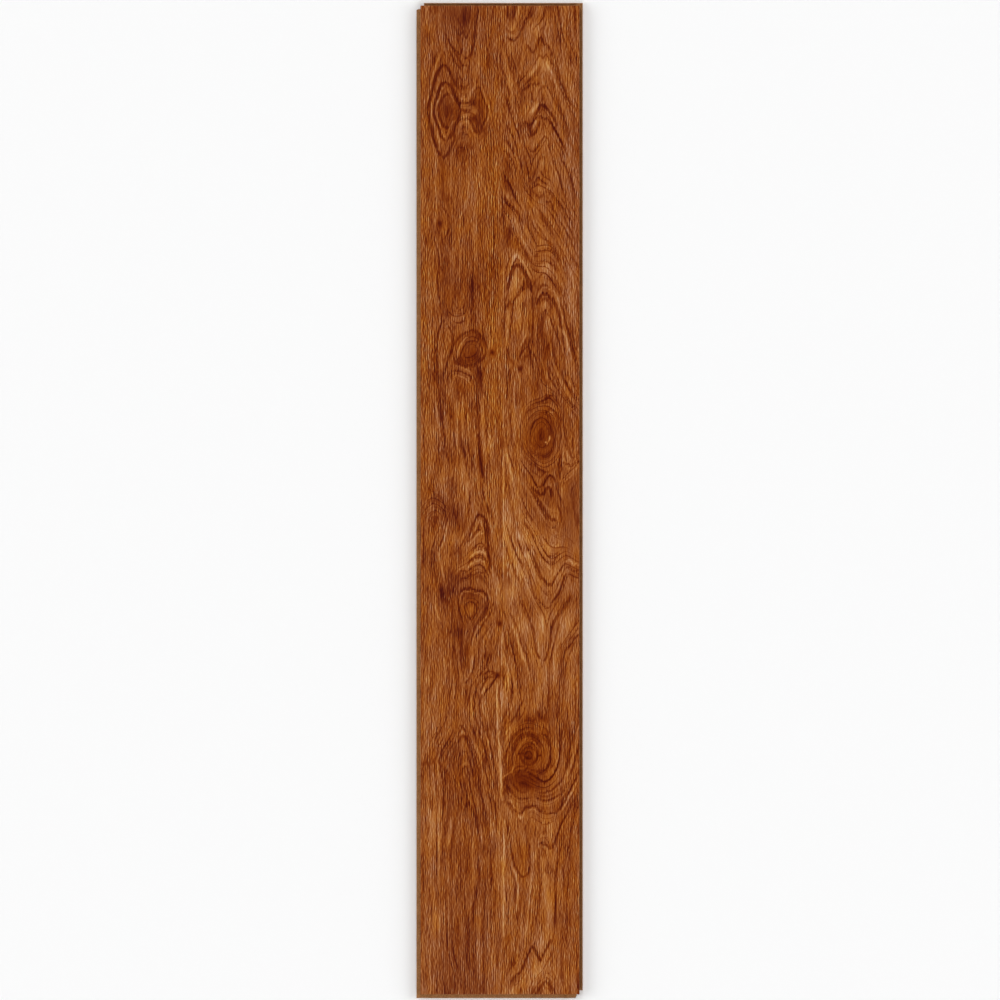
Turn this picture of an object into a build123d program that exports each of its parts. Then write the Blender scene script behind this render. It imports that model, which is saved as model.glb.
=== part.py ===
from build123d import *
import math
import os

# Laminate floor plank with a click joint milled round all four edges.
# X runs across the plank, Y along it and Z up from the underside.
# The origin is on the underside, below the middle of the printed face.

# Board
FACE_LENGTH = 1218.0
FACE_WIDTH = 196.0
THICKNESS = 12.0
EDGE_BEVEL = 0.4  # narrow slope round the printed face

# Tongue, and the edge above it that butts against the next plank
UPPER_LIP = 3.5  # height of the butting edge
TONGUE_REACH = 5.0  # tongue past the printed face
TONGUE_TOP_ROUND = 1.2
TONGUE_BELLY_ROUND = 2.6

# Lower lip, with the heel that locks the joint
LIP_THICKNESS = 3.1  # under the hollow that takes the tongue
LIP_REACH = 4.0  # lip past the printed face
HEEL_RISE = 1.1  # heel above the hollow
HEEL_LAND = 1.6  # flat on top of the heel
LOCK_ANGLE = 50.0  # slope of the lock face, from the horizontal
HEEL_ROUND = 0.35

# Room between two joined planks
JOINT_GAP = 0.1  # over, under and behind the tongue's working faces
DUST_GAP = 0.3  # ahead of the tongue's tip and the lip's end

# Heights shared by the tongue and the groove
CEILING = THICKNESS - UPPER_LIP
HEEL_TOP = LIP_THICKNESS + HEEL_RISE

# Lock face of the heel, measured inwards from the edge of the printed face
LOCK_HEAD = HEEL_LAND - LIP_REACH
LOCK_FOOT = LOCK_HEAD + HEEL_RISE / math.tan(math.radians(LOCK_ANGLE))
LOCK_SHIFT = JOINT_GAP * math.tan(math.radians(LOCK_ANGLE / 2))


def plank_section(span):
    """Closed section of a plank, tongue at the low end and groove at the high end."""
    tongue_edge = -span / 2
    groove_edge = span / 2
    groove_end = groove_edge - TONGUE_REACH - DUST_GAP
    recess_wall = tongue_edge + LIP_REACH + DUST_GAP
    lip_end = groove_edge + LIP_REACH
    tongue_tip = tongue_edge - TONGUE_REACH
    corners = [
        # Printed face, between its two bevels
        ((tongue_edge, THICKNESS - EDGE_BEVEL), 0),
        ((tongue_edge + EDGE_BEVEL, THICKNESS), 0),
        ((groove_edge - EDGE_BEVEL, THICKNESS), 0),
        ((groove_edge, THICKNESS - EDGE_BEVEL), 0),
        # Groove
        ((groove_edge, CEILING), HEEL_ROUND),
        ((groove_end, CEILING), TONGUE_TOP_ROUND),
        ((groove_end, LIP_THICKNESS), TONGUE_BELLY_ROUND),
        # Hollow, lock face and heel of the lower lip
        ((groove_edge - LOCK_FOOT, LIP_THICKNESS), HEEL_ROUND),
        ((groove_edge - LOCK_HEAD, HEEL_TOP), HEEL_ROUND),
        ((lip_end, HEEL_TOP), HEEL_ROUND),
        # Underside
        ((lip_end, 0), 0),
        ((recess_wall, 0), 0),
        # Recess that takes the next plank's lip, and its lock face
        ((recess_wall, HEEL_TOP + JOINT_GAP), HEEL_ROUND),
        ((tongue_edge - LOCK_HEAD - LOCK_SHIFT, HEEL_TOP + JOINT_GAP), HEEL_ROUND),
        ((tongue_edge - LOCK_FOOT - LOCK_SHIFT, LIP_THICKNESS + JOINT_GAP), HEEL_ROUND),
        # Tongue
        ((tongue_tip, LIP_THICKNESS + JOINT_GAP), TONGUE_BELLY_ROUND),
        ((tongue_tip, CEILING - JOINT_GAP), TONGUE_TOP_ROUND),
        ((tongue_edge, CEILING - JOINT_GAP), 0),
    ]
    points = [point for point, _ in corners]
    rounds = [round_size for _, round_size in corners]
    return make_face(FilletPolyline(*points, radius=rounds, close=True))


def milled_run(plane, span, run):
    """Board with the joint milled along two opposite edges, longer than the finished plank."""
    reach = max(TONGUE_REACH, LIP_REACH)
    return extrude(plane * plank_section(span), amount=run / 2 + reach, both=True)


# The long edges are milled first, then the two ends across them. The small
# offcuts that this leaves at two corners fall away, and the board is what stays.
across = Plane(origin=(0, 0, 0), x_dir=(1, 0, 0), z_dir=(0, -1, 0))
along = Plane(origin=(0, 0, 0), x_dir=(0, 1, 0), z_dir=(1, 0, 0))
long_edges = milled_run(across, FACE_WIDTH, FACE_LENGTH)
end_edges = milled_run(along, FACE_LENGTH, FACE_WIDTH)
plank = (long_edges & end_edges).solids().sort_by(SortBy.VOLUME)[-1]

os.makedirs("parts", exist_ok=True)
export_step(plank, "parts/plank.step")
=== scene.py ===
import math

import bmesh
import bpy
import numpy as np
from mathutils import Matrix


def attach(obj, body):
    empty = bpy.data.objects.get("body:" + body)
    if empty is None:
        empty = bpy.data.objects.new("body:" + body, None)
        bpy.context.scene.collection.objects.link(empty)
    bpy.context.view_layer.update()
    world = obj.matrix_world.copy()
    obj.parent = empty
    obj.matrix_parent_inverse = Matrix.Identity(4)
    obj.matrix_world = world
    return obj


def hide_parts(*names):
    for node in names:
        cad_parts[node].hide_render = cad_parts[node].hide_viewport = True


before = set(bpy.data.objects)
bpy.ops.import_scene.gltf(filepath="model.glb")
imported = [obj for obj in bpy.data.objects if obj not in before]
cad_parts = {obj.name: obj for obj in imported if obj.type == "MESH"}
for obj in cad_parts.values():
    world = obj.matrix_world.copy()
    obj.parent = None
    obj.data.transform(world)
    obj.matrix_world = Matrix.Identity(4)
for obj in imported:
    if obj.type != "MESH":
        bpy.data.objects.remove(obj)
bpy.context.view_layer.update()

# Board, in metres, as the plank was milled
FACE_WIDTH = 0.196
FACE_LENGTH = 1.218
THICKNESS = 0.012
EDGE_BEVEL = 0.0004
SAME_PLACE = 1e-6  # two places nearer than this are one
PACKED_FROM = 0.003  # from the middle of the thickness to where the press packed the board

# Cells of the printed face, across and along the grain
CELLS_ACROSS = 180
CELLS_ALONG = 530
FIRST_CUTS_ACROSS = 18  # the rim is divided in two rounds, first into this many
FIRST_CUTS_ALONG = 53
EMBOSS_DEPTH = 0.00011
SMOOTH_ANGLE = math.radians(30)

# Flat layout of the skin: share of its width for the print, and the bare margin
PRINT_SHARE = 0.81
LAYOUT_MARGIN = 0.005

GRAIN_STRAIGHTNESS = 0.008  # pull of the plain straight grain between drawn lines
RING_STIFFNESS = 12.0  # how strictly a growth ring keeps to the drawn lines
RING_TURNS = 1500  # rounds in which the rings settle
RING_SLACK = 0.004  # least hold of a ring anywhere
RING_PATCHES = 22  # stretches a metre in which a fine growth line comes and goes
SEAM_HOLD = 0.001  # what is left of the hold across the seam of the strips
KNOT_CLIMB = 0.6  # how strongly the rings climb round a knot
STRAND_STRIDE = 1.5  # step with which a strand is followed, in sheet units
RING_SPACING = 5.5  # room between two fine growth lines, in sheet units
KNOT_CROWDING = 0.9  # how many times over the lines double in number round a knot
STRIP_SEAM = 503.0  # where the two printed strips meet
ROUGH_FROM = 8.0  # half width from which a stain's edge is as ragged as a line's
PORE_STEP = 0.0027  # from one row of open pores to the next

# Sheet on which the wood figure is drawn: 1 unit is about 1.23 mm, u runs right and v runs down
SHEET_WIDTH = 159.08
SHEET_LENGTH = 989.2
SHEET_MIDDLE = (500.15, 500.13)

# Dark growth lines: strength, width, path
DARK_LINES = [
    # Right strip, arches of the first crown
    (0.35, 1.2, "505,36 509,39 514,40 518,38 521,32"),
    (0.35, 2.0, "527,17 524,24 522,32"),
    (0.40, 1.5, "546,9 544,16 541,21 537,24"),
    (0.45, 1.4, "557,6 560,19 562,33 566,44 570,57 573,64"),
    (0.30, 1.2, "554,15 557,26 559,38 560,50 558,60 557,68"),
    (0.60, 1.8, "526,50 528,45 530,49 532,53 535,50 538,43 540,37 542,39 544,44 548,45 551,51 554,58"),
    (0.50, 1.6, "531,70 534,65 537,60 540,55 543,58 546,55 550,61 554,66 558,73 561,82"),
    (0.70, 1.9, "553,48 556,61 558,70 561,82 565,91 569,100 573,107"),
    (0.35, 1.3, "570,70 575,85 579,95"),
    (0.35, 1.3, "541,74 544,71 546,76 546,88"),
    (0.35, 2.4, "520,92 526,88 532,84 538,85 542,87 546,89"),
    (0.40, 1.5, "531,90 532,98 534,102 537,97 540,90 544,86 548,88 552,95 556,104 560,112 563,120"),
    (0.80, 2.6, "533,120 537,114 540,107 543,105 546,108 549,111 553,117 557,124"),
    (0.65, 2.2, "530,126 534,121 537,119 540,117 545,118 549,121 553,127 557,134 562,142 566,150"),
    (0.35, 1.2, "502,37 505,45 508,55 510,63"),
    (0.40, 1.2, "502,66 505,75 507,85 510,97"),
    (0.30, 1.2, "513,85 515,97 518,108"),
    (0.40, 1.2, "503,92 507,104 510,112 513,120"),
    # Right strip, second crown
    (0.60, 1.6, "508,121 509,129 512,136 516,144 517,152 518,159"),
    (0.50, 1.4, "513,120 516,128 519,134 520,140"),
    (0.40, 1.2, "519,122 521,130 523,140 526,150 528,158"),
    (0.50, 2.0, "503,151 506,152 510,157 514,163 516,170 516,178"),
    (0.45, 1.5, "505,180 509,184 512,190 513,196"),
    (0.75, 2.4, "503,197 508,203 513,208 517,213 520,219 521,228"),
    (0.40, 1.2, "516,150 519,160 522,168 524,176"),
    (0.30, 1.1, "519,195 526,206 529,214"),
    (0.60, 2.0, "525,122 528,125 531,133 533,136 536,132 538,128 540,122"),
    (0.60, 2.0, "527,147 531,151 535,150 539,145 542,140 545,137 548,139 551,145 554,152"),
    (0.35, 1.3, "537,168 538,162 541,157 544,157 546,161"),
    (0.55, 1.6, "529,181 532,184 535,181 538,177 541,179 544,182 548,183"),
    (0.35, 1.2, "535,194 539,197 542,194"),
    (0.50, 1.5, "549,120 553,127 557,134 560,141 564,148"),
    (0.50, 1.5, "556,141 560,147 563,152 565,158"),
    (0.55, 1.6, "553,160 555,166 558,172 560,178 562,187 565,193"),
    (0.35, 1.2, "562,160 566,166 570,173 573,180"),
    (0.50, 2.0, "546,201 551,203 554,207"),
    (0.55, 1.8, "557,200 561,205 564,209 567,215 571,221 574,228"),
    (0.50, 1.5, "551,205 555,212 559,218 562,224 566,230 570,238 573,246"),
    (0.30, 1.1, "557,229 561,235 565,243 569,251"),
    (0.35, 1.2, "543,225 546,228 548,232"),
    (0.40, 1.5, "521,225 524,233 528,240"),
    # Right strip, double arch
    (0.80, 3.0, "508,290 510,281 512,273 514,267 518,265 521,268 524,273 527,278 529,285 531,291"),
    (0.50, 1.5, "509,283 508,295 506,303 505,312 504,325 504,340"),
    (0.50, 1.4, "528,288 524,290 520,294 515,299 513,304 512,312 511,322 510,332 509,342"),
    (0.35, 1.2, "531,268 536,270 539,271"),
    (0.45, 1.3, "541,262 545,260 549,262 554,266 558,272"),
    (0.55, 1.7, "539,278 541,275 545,274 549,277 552,281 556,288"),
    (0.50, 1.3, "532,280 533,290 533,302 533,320 533,345"),
    (0.80, 3.0, "537,304 540,297 544,294 549,296 553,300 556,306 559,316 561,327"),
    (0.65, 2.0, "560,302 563,311 566,322 569,334 572,346 577,361"),
    (0.60, 1.7, "541,318 544,311 547,311 551,318 553,325 556,333 559,341 561,350 563,360"),
    (0.35, 1.2, "543,314 541,322 540,332 540,345 540,362"),
    (0.35, 1.2, "545,250 550,249 555,253 558,258 560,265"),
    (0.35, 1.1, "556,243 560,249 563,256 565,263"),
    (0.35, 1.2, "566,243 569,251 573,259 578,266"),
    (0.30, 1.1, "573,245 576,252 579,258"),
    (0.30, 1.2, "560,282 563,290 566,300"),
    (0.45, 1.3, "519,358 522,352 526,348 529,348 532,352 535,357 537,361"),
    (0.40, 1.1, "523,363 526,357 529,355 531,358"),
    # Right strip, below the double arch
    (0.35, 1.2, "507,358 507,380 507,400"),
    (0.50, 1.5, "547,364 549,368 552,374 555,379 558,385 562,392"),
    (0.40, 1.2, "549,377 553,383 556,388"),
    (0.40, 1.2, "546,387 551,389 554,391"),
    (0.45, 1.5, "563,360 565,369 566,377"),
    (0.50, 1.5, "565,380 568,385 571,390 575,395 579,400"),
    (0.40, 1.4, "566,397 570,402 575,406"),
    (0.45, 1.4, "545,403 549,397 553,396 557,401 561,408"),
    (0.55, 1.6, "545,415 548,411 551,410 555,411 558,415 560,422"),
    (0.35, 1.2, "525,428 527,421 530,417 534,415"),
    # Right strip, large eye and the cups below it
    (0.30, 1.2, "541,412 533,415 528,424 526,434 528,446 533,455 541,458"),
    (0.30, 1.2, "541,412 549,416 554,425 556,435 554,447 549,455 541,458"),
    (0.32, 1.2, "541,405 530,409 523,421 521,434 523,449 530,461 538,466"),
    (0.32, 1.2, "545,405 553,411 559,422 561,434 560,448 554,459 547,464"),
    (0.40, 1.1, "541,418 535,421 531,428 530,436 532,445 537,451"),
    (0.40, 1.1, "543,418 548,422 551,429 552,437"),
    (0.45, 1.5, "525,447 530,455 534,461 537,466 540,470"),
    (0.60, 2.5, "533,464 537,467 541,470 545,472"),
    (0.55, 2.0, "542,484 546,478 549,475 553,477 555,481 557,487"),
    (0.40, 1.4, "562,455 561,465 560,475 561,480"),
    (0.50, 1.6, "563,462 568,466 572,466 576,463 579,460"),
    (0.35, 1.2, "508,452 511,461 514,470"),
    (0.60, 1.8, "534,480 536,485 539,487 542,486 545,482"),
    (0.75, 2.6, "532,487 535,490 538,493 541,495 544,493 546,489 549,487 551,490 552,497"),
    (0.70, 2.4, "531,489 537,498 541,504 545,511 549,517 553,521 558,521"),
    (0.40, 1.4, "556,501 559,508 561,516 562,523"),
    (0.55, 1.5, "556,487 558,492 560,498 561,503"),
    (0.50, 1.6, "546,523 550,528 554,528 557,525"),
    (0.50, 1.8, "526,512 530,518 533,523"),
    (0.60, 2.2, "523,519 527,526 531,532 534,537 536,543"),
    (0.70, 2.4, "531,551 534,558 536,564 538,570 541,576 544,580 547,583 551,585 555,579"),
    (0.55, 1.8, "541,545 544,550 547,555 551,557 556,556 560,552"),
    (0.45, 1.6, "541,553 544,559 547,562 551,564 555,561 560,556"),
    (0.45, 1.4, "545,538 550,543 555,545 560,545"),
    (0.50, 1.8, "566,566 570,568 574,571 579,572"),
    (0.45, 1.2, "552,581 555,577 558,573 561,569 564,564"),
    (0.75, 2.2, "551,603 555,599 558,594 561,588 563,581 566,574"),
    (0.60, 1.8, "507,526 510,535 513,544 516,551 519,558 522,564 524,570"),
    (0.55, 1.5, "504,540 508,551 510,559 513,567 515,575 518,582"),
    (0.45, 1.4, "525,563 529,575 531,582 533,590 535,597 540,603"),
    # Right strip, long V
    (0.50, 1.6, "540,602 545,606 548,609 551,605"),
    (0.60, 2.2, "566,601 563,607 560,613 557,618 554,624 552,629 551,640 548,652 546,658 543,661"),
    (0.65, 2.2, "523,602 526,611 529,618 532,625 534,634 535,643 536,650 538,656 541,660"),
    (0.60, 1.8, "509,610 514,620 518,630 519,636 521,644 524,651 527,656 529,664 530,672"),
    (0.55, 1.6, "512,640 514,655 516,666 518,675 520,683 523,692"),
    (0.60, 1.8, "579,634 575,639 571,644 568,648 565,653 563,662"),
    (0.50, 1.7, "562,670 560,682 559,694 558,710 559,724"),
    (0.45, 1.1, "552,655 552,678 552,700"),
    (0.40, 1.1, "543,690 543,712"),
    (0.55, 2.0, "512,680 512,690 511,700 508,708 505,716 503,722"),
    (0.55, 1.8, "523,700 520,708 516,715 512,721 508,726"),
    (0.45, 1.3, "503,625 505,632 506,641"),
    (0.50, 1.5, "503,666 503,690"),
    # Right strip, great knot with its rings
    (0.70, 1.3, "518,755 521,754 524,752"),
    (0.70, 1.4, "541,754 538,757 536,761"),
    (0.50, 1.2, "528,745 530,747 532,743"),
    (0.45, 2.4, "522,752 521,757 524,762 529,765 534,763 537,758 536,752 532,749 526,749 522,752"),
    (0.45, 4.5, "513,750 516,742 521,737 527,735 533,736 537,740 540,746"),
    (0.50, 1.8, "506,752 509,744 512,738 516,733 521,730 527,728 533,729"),
    (0.60, 1.8, "537,734 542,734 546,736 549,741 551,748 551,755 550,762 548,767 545,770 540,772"),
    (0.60, 1.8, "559,718 560,735 560,750 559,760 557,768 554,774 550,779 545,782"),
    (0.60, 2.0, "572,725 572,738 570,750 568,762 565,774 561,782 556,787 550,791 543,793 535,792"),
    (0.55, 2.0, "579,740 577,752 574,763 571,774 568,784 564,791 559,796 553,799 547,801 541,800 535,797"),
    (0.60, 2.0, "579,770 576,780 572,789 568,796 564,803 560,809 556,813 549,814"),
    (0.50, 1.8, "579,790 575,799 570,808 565,817 560,826 557,836 555,845"),
    (0.50, 2.0, "515,773 520,771 527,771 531,774 535,776 540,780 545,784"),
    (0.50, 2.0, "505,785 509,790 512,794 517,798 523,800 530,798"),
    (0.65, 2.0, "507,801 511,805 515,810 519,814 522,813 526,808 531,806 536,807 540,811 545,812"),
    # Right strip, foot of the plank
    (0.50, 2.0, "511,845 512,855 514,864 518,872 523,877 527,875 530,868"),
    (0.40, 2.0, "530,843 530,855 531,866"),
    (0.55, 2.0, "538,845 541,843 545,844 548,846 551,850 554,843 556,838"),
    (0.40, 1.3, "545,868 546,872 549,874 552,871 553,866"),
    (0.45, 2.0, "541,878 540,892 539,905 537,915 536,926"),
    (0.40, 2.0, "555,870 555,890 555,910 556,932"),
    (0.65, 2.4, "524,965 528,955 533,948 537,955 540,960 543,956 546,951 549,944 551,941 553,945"),
    (0.55, 2.0, "525,962 523,968 520,973 516,976 512,980"),
    (0.50, 2.5, "536,994 539,988 543,984 547,982 551,986 555,993"),
    (0.30, 1.4, "511,932 507,944 505,952"),
    # Left strip, plume at the head
    (0.35, 2.0, "478,10 476,20 475,30 474,40 471,50 470,58 468,72"),
    (0.50, 2.0, "454,26 458,32 461,34 464,31 465,37 467,38 469,33 471,27"),
    (0.50, 2.0, "449,40 452,46 456,51 459,54 461,53 463,49"),
    (0.50, 2.0, "463,55 465,58 468,58 471,55 473,50 475,42 477,33"),
    (0.35, 1.5, "449,50 453,57 457,64 460,67 464,65 468,67 470,60"),
    # Left strip, trunk below the double eye, and the small knot
    (0.45, 1.6, "441,205 446,212 449,220 450,228 447,235 444,239"),
    (0.40, 1.4, "437,227 439,233 442,238 443,245"),
    (0.35, 1.2, "451,196 453,206 456,218"),
    (0.35, 1.4, "460,147 464,148 469,146"),
    # Left strip, oval knot and the lens beside it
    (0.50, 1.8, "438,270 438,285 439,300"),
    (0.50, 2.2, "472,276 472,292 473,310"),
    (0.40, 1.5, "456,307 460,310 464,306"),
    (0.35, 1.3, "457,316 462,315 466,314"),
    (0.45, 1.5, "457,323 462,324 465,321"),
    (0.65, 2.0, "443,321 440,328 438,336 437,346 437,358 438,370"),
    (0.55, 1.8, "445,322 449,327 452,333 453,340 452,350 449,358 447,366 444,374"),
    (0.40, 1.2, "435,330 434,345 434,360 435,375"),
    (0.40, 2.2, "454,346 456,341 460,336 465,333 470,331 475,331 480,335 484,340 486,346 486,353"),
    (0.45, 1.6, "462,352 464,346 468,342 473,341 478,343 482,347 483,353"),
    (0.42, 3.0, "453,358 458,364 465,366 472,366 478,362 483,357 486,352"),
    # Left strip, streaks below the oval knot
    (0.40, 3.2, "436,360 437,372 438,380 439,392 441,402 442,415 443,430 445,445 447,458"),
    (0.40, 1.4, "455,371 462,372 468,376"),
    (0.40, 4.0, "478,368 477,385 478,405 478,420 479,436"),
    (0.80, 3.0, "479,434 480,442 480,451 481,460 482,468 483,477"),
    (0.35, 1.4, "460,445 463,450 466,458"),
    (0.30, 1.2, "451,398 450,412 449,426"),
    # Left strip, stacked domes
    (0.40, 3.0, "452,478 452,492 453,503 455,512 457,522 459,530"),
    (0.50, 1.2, "470,490 470,505"),
    (0.50, 2.0, "484,480 482,488 485,500 489,514"),
    (0.35, 2.0, "437,499 443,503 447,509"),
    (0.65, 2.2, "466,542 470,533 473,525 476,518 479,515 482,516 486,520 488,527 490,534"),
    (0.50, 1.6, "464,546 468,541 472,536 476,531 480,530 483,531"),
    (0.60, 1.8, "473,551 476,548 480,547 484,548 487,552"),
    (0.55, 1.8, "467,565 471,561 476,558 481,558 485,561 488,567 490,573"),
    (0.50, 1.6, "460,570 466,571 471,570 475,567 480,566 485,569 488,575"),
    (0.55, 1.6, "461,578 468,577 474,574 480,573 485,576 488,583"),
    (0.50, 1.0, "471,573 471,584"),
    (0.70, 2.2, "461,593 464,589 468,588 473,590 478,591 482,591 486,594 488,600"),
    (0.85, 2.8, "484,522 486,531 487,540 488,547 488,554 490,562 491,569"),
    (0.45, 1.4, "447,530 443,538 440,546 438,552"),
    (0.40, 1.8, "440,584 441,592 443,601"),
    # Left strip, teardrop, V and the curled knot
    (0.60, 1.8, "471,602 467,603 465,607 466,612 468,617 471,620 474,617 476,612 477,607 475,603 471,602"),
    (0.45, 1.5, "458,598 459,605 460,612 462,618"),
    (0.50, 1.8, "486,598 487,605 487,611 485,616 481,620 477,625"),
    (0.50, 2.0, "488,602 486,609 483,615 479,621 475,629 472,638 471,646"),
    (0.50, 1.8, "493,604 491,612 487,618 482,626 479,632 476,639"),
    (0.55, 1.6, "459,650 461,660 462,668 464,677 466,683 468,680 471,674 474,666 475,656"),
    (0.45, 1.8, "489,655 487,663 482,671 476,679 472,686 469,700 469,720"),
    (0.70, 1.8, "497,677 494,681 491,686 487,690 482,697 479,706"),
    (0.50, 1.5, "482,677 486,673 491,671 495,673"),
    (0.40, 1.3, "479,685 484,679 489,677 494,677"),
    (0.50, 1.8, "477,684 475,694 474,705 475,716 477,726"),
    (0.45, 1.4, "479,705 480,715 482,726"),
    (0.60, 1.6, "496,727 495.5,742 496,757"),
    (0.50, 1.1, "499.5,686 499.3,696 499.8,705"),
    # Left strip, narrow cathedral
    (0.50, 2.0, "452,735 447,743 442,751 440,760 441,770 443,778 444,790 444,800 443,812 441,825"),
    (0.45, 1.5, "447,733 440,745 435,757 434,766 435,780 438,800"),
    (0.40, 1.6, "455,743 450,750 447,758 446,765 449,772 454,778 457,784"),
    (0.45, 1.6, "457,738 460,731 463,727 466,733 469,740 472,748 475,757 478,768 479,780 "
     "481,795 485,810 488,840"),
    (0.45, 1.5, "459,744 463,735 467,742 471,752 474,762 476,776"),
    (0.50, 1.6, "470,721 474,733 478,745 482,758 485,770 489,783 493,797 496,812 497,830"),
    (0.45, 1.5, "476,721 480,735 484,748 488,762 492,778 496,795"),
    (0.40, 1.4, "485,720 488,735 491,750 494,765 497,780 498,796"),
    (0.45, 1.5, "458,760 461,754 463,750 467,754 470,762 473,772 475,786"),
    (0.50, 1.6, "461,776 463,770 466,766 469,772 470,783 472,795 475,808 478,822"),
    (0.55, 2.4, "463,816 466,807 468,803 472,808 475,817 478,828 480,842"),
    (0.40, 1.2, "437,800 437,830 437,872"),
    # Left strip, foot of the plank
    (0.35, 1.6, "462,878 464,895 467,912"),
    (0.35, 1.6, "477,888 475,900 472,914"),
    (0.45, 4.0, "467,914 468,932 467,950 468,970"),
    (0.35, 2.5, "457,883 457,902"),
    (0.35, 1.6, "447,920 447,952"),
    (0.35, 1.5, "452,948 455,960 458,969"),
]

# The same growth lines on both halves of the double eye, which is drawn about its middle height
EYE_MIDDLE = 111.0
DARK_EYE_LINES = [
    (0.65, 2.6, "443,65 440,68 437,73 434.5,80 433,87 431.5,94 430,100 428.8,106 428.5,111"),
    (0.50, 2.6, "443,65 447,67 450,72 452,77 454,82 455,87"),
    (0.70, 2.2, "446,82 442,84 440,89 438,95 436,101 434.6,106 434.2,111"),
    (0.65, 3.0, "446,82 450,85 453,90 455,95 457.5,100 459.5,104 460,108"),
    (0.55, 2.4, "439.2,111 439.6,106 441,102 443.5,97.5 447,94.5 450,95"),
    (0.60, 1.5, "460,102.5 465,103 469.5,102.5"),
    (0.40, 1.3, "460,88.5 464,89 469,88"),
    (0.35, 1.2, "461,94 465,95 469,93"),
    (0.45, 1.6, "480,87 481.5,92 483.5,98 486,104 487.5,108 488,111"),
    (0.35, 1.5, "478,88 474,93 471,99 469,105"),
    (0.50, 2.4, "459,111 465,111 471,111"),
]
LIGHT_EYE_LINES = [
    (0.65, 1.6, "445,85 442,90 440,96 438,101 436.8,106 436.5,111"),
    (0.35, 1.5, "447,88 450,94 453,99 456,103"),
    (0.55, 2.2, "440,78 438,85 437,91"),
    (0.40, 1.4, "437,91 434.5,97 432.5,102 431.5,107 431.5,111"),
    (0.40, 1.8, "441,52 436,66 432,80 430.5,92 428.5,99 427,104"),
    (0.40, 1.8, "478,84 474,89 471,93 469,98 467.5,101"),
    (0.45, 1.8, "482,86 484,94 486.5,101 489,107 490,111"),
    (0.45, 2.0, "461,98 465,100 469,98"),
]

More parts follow.
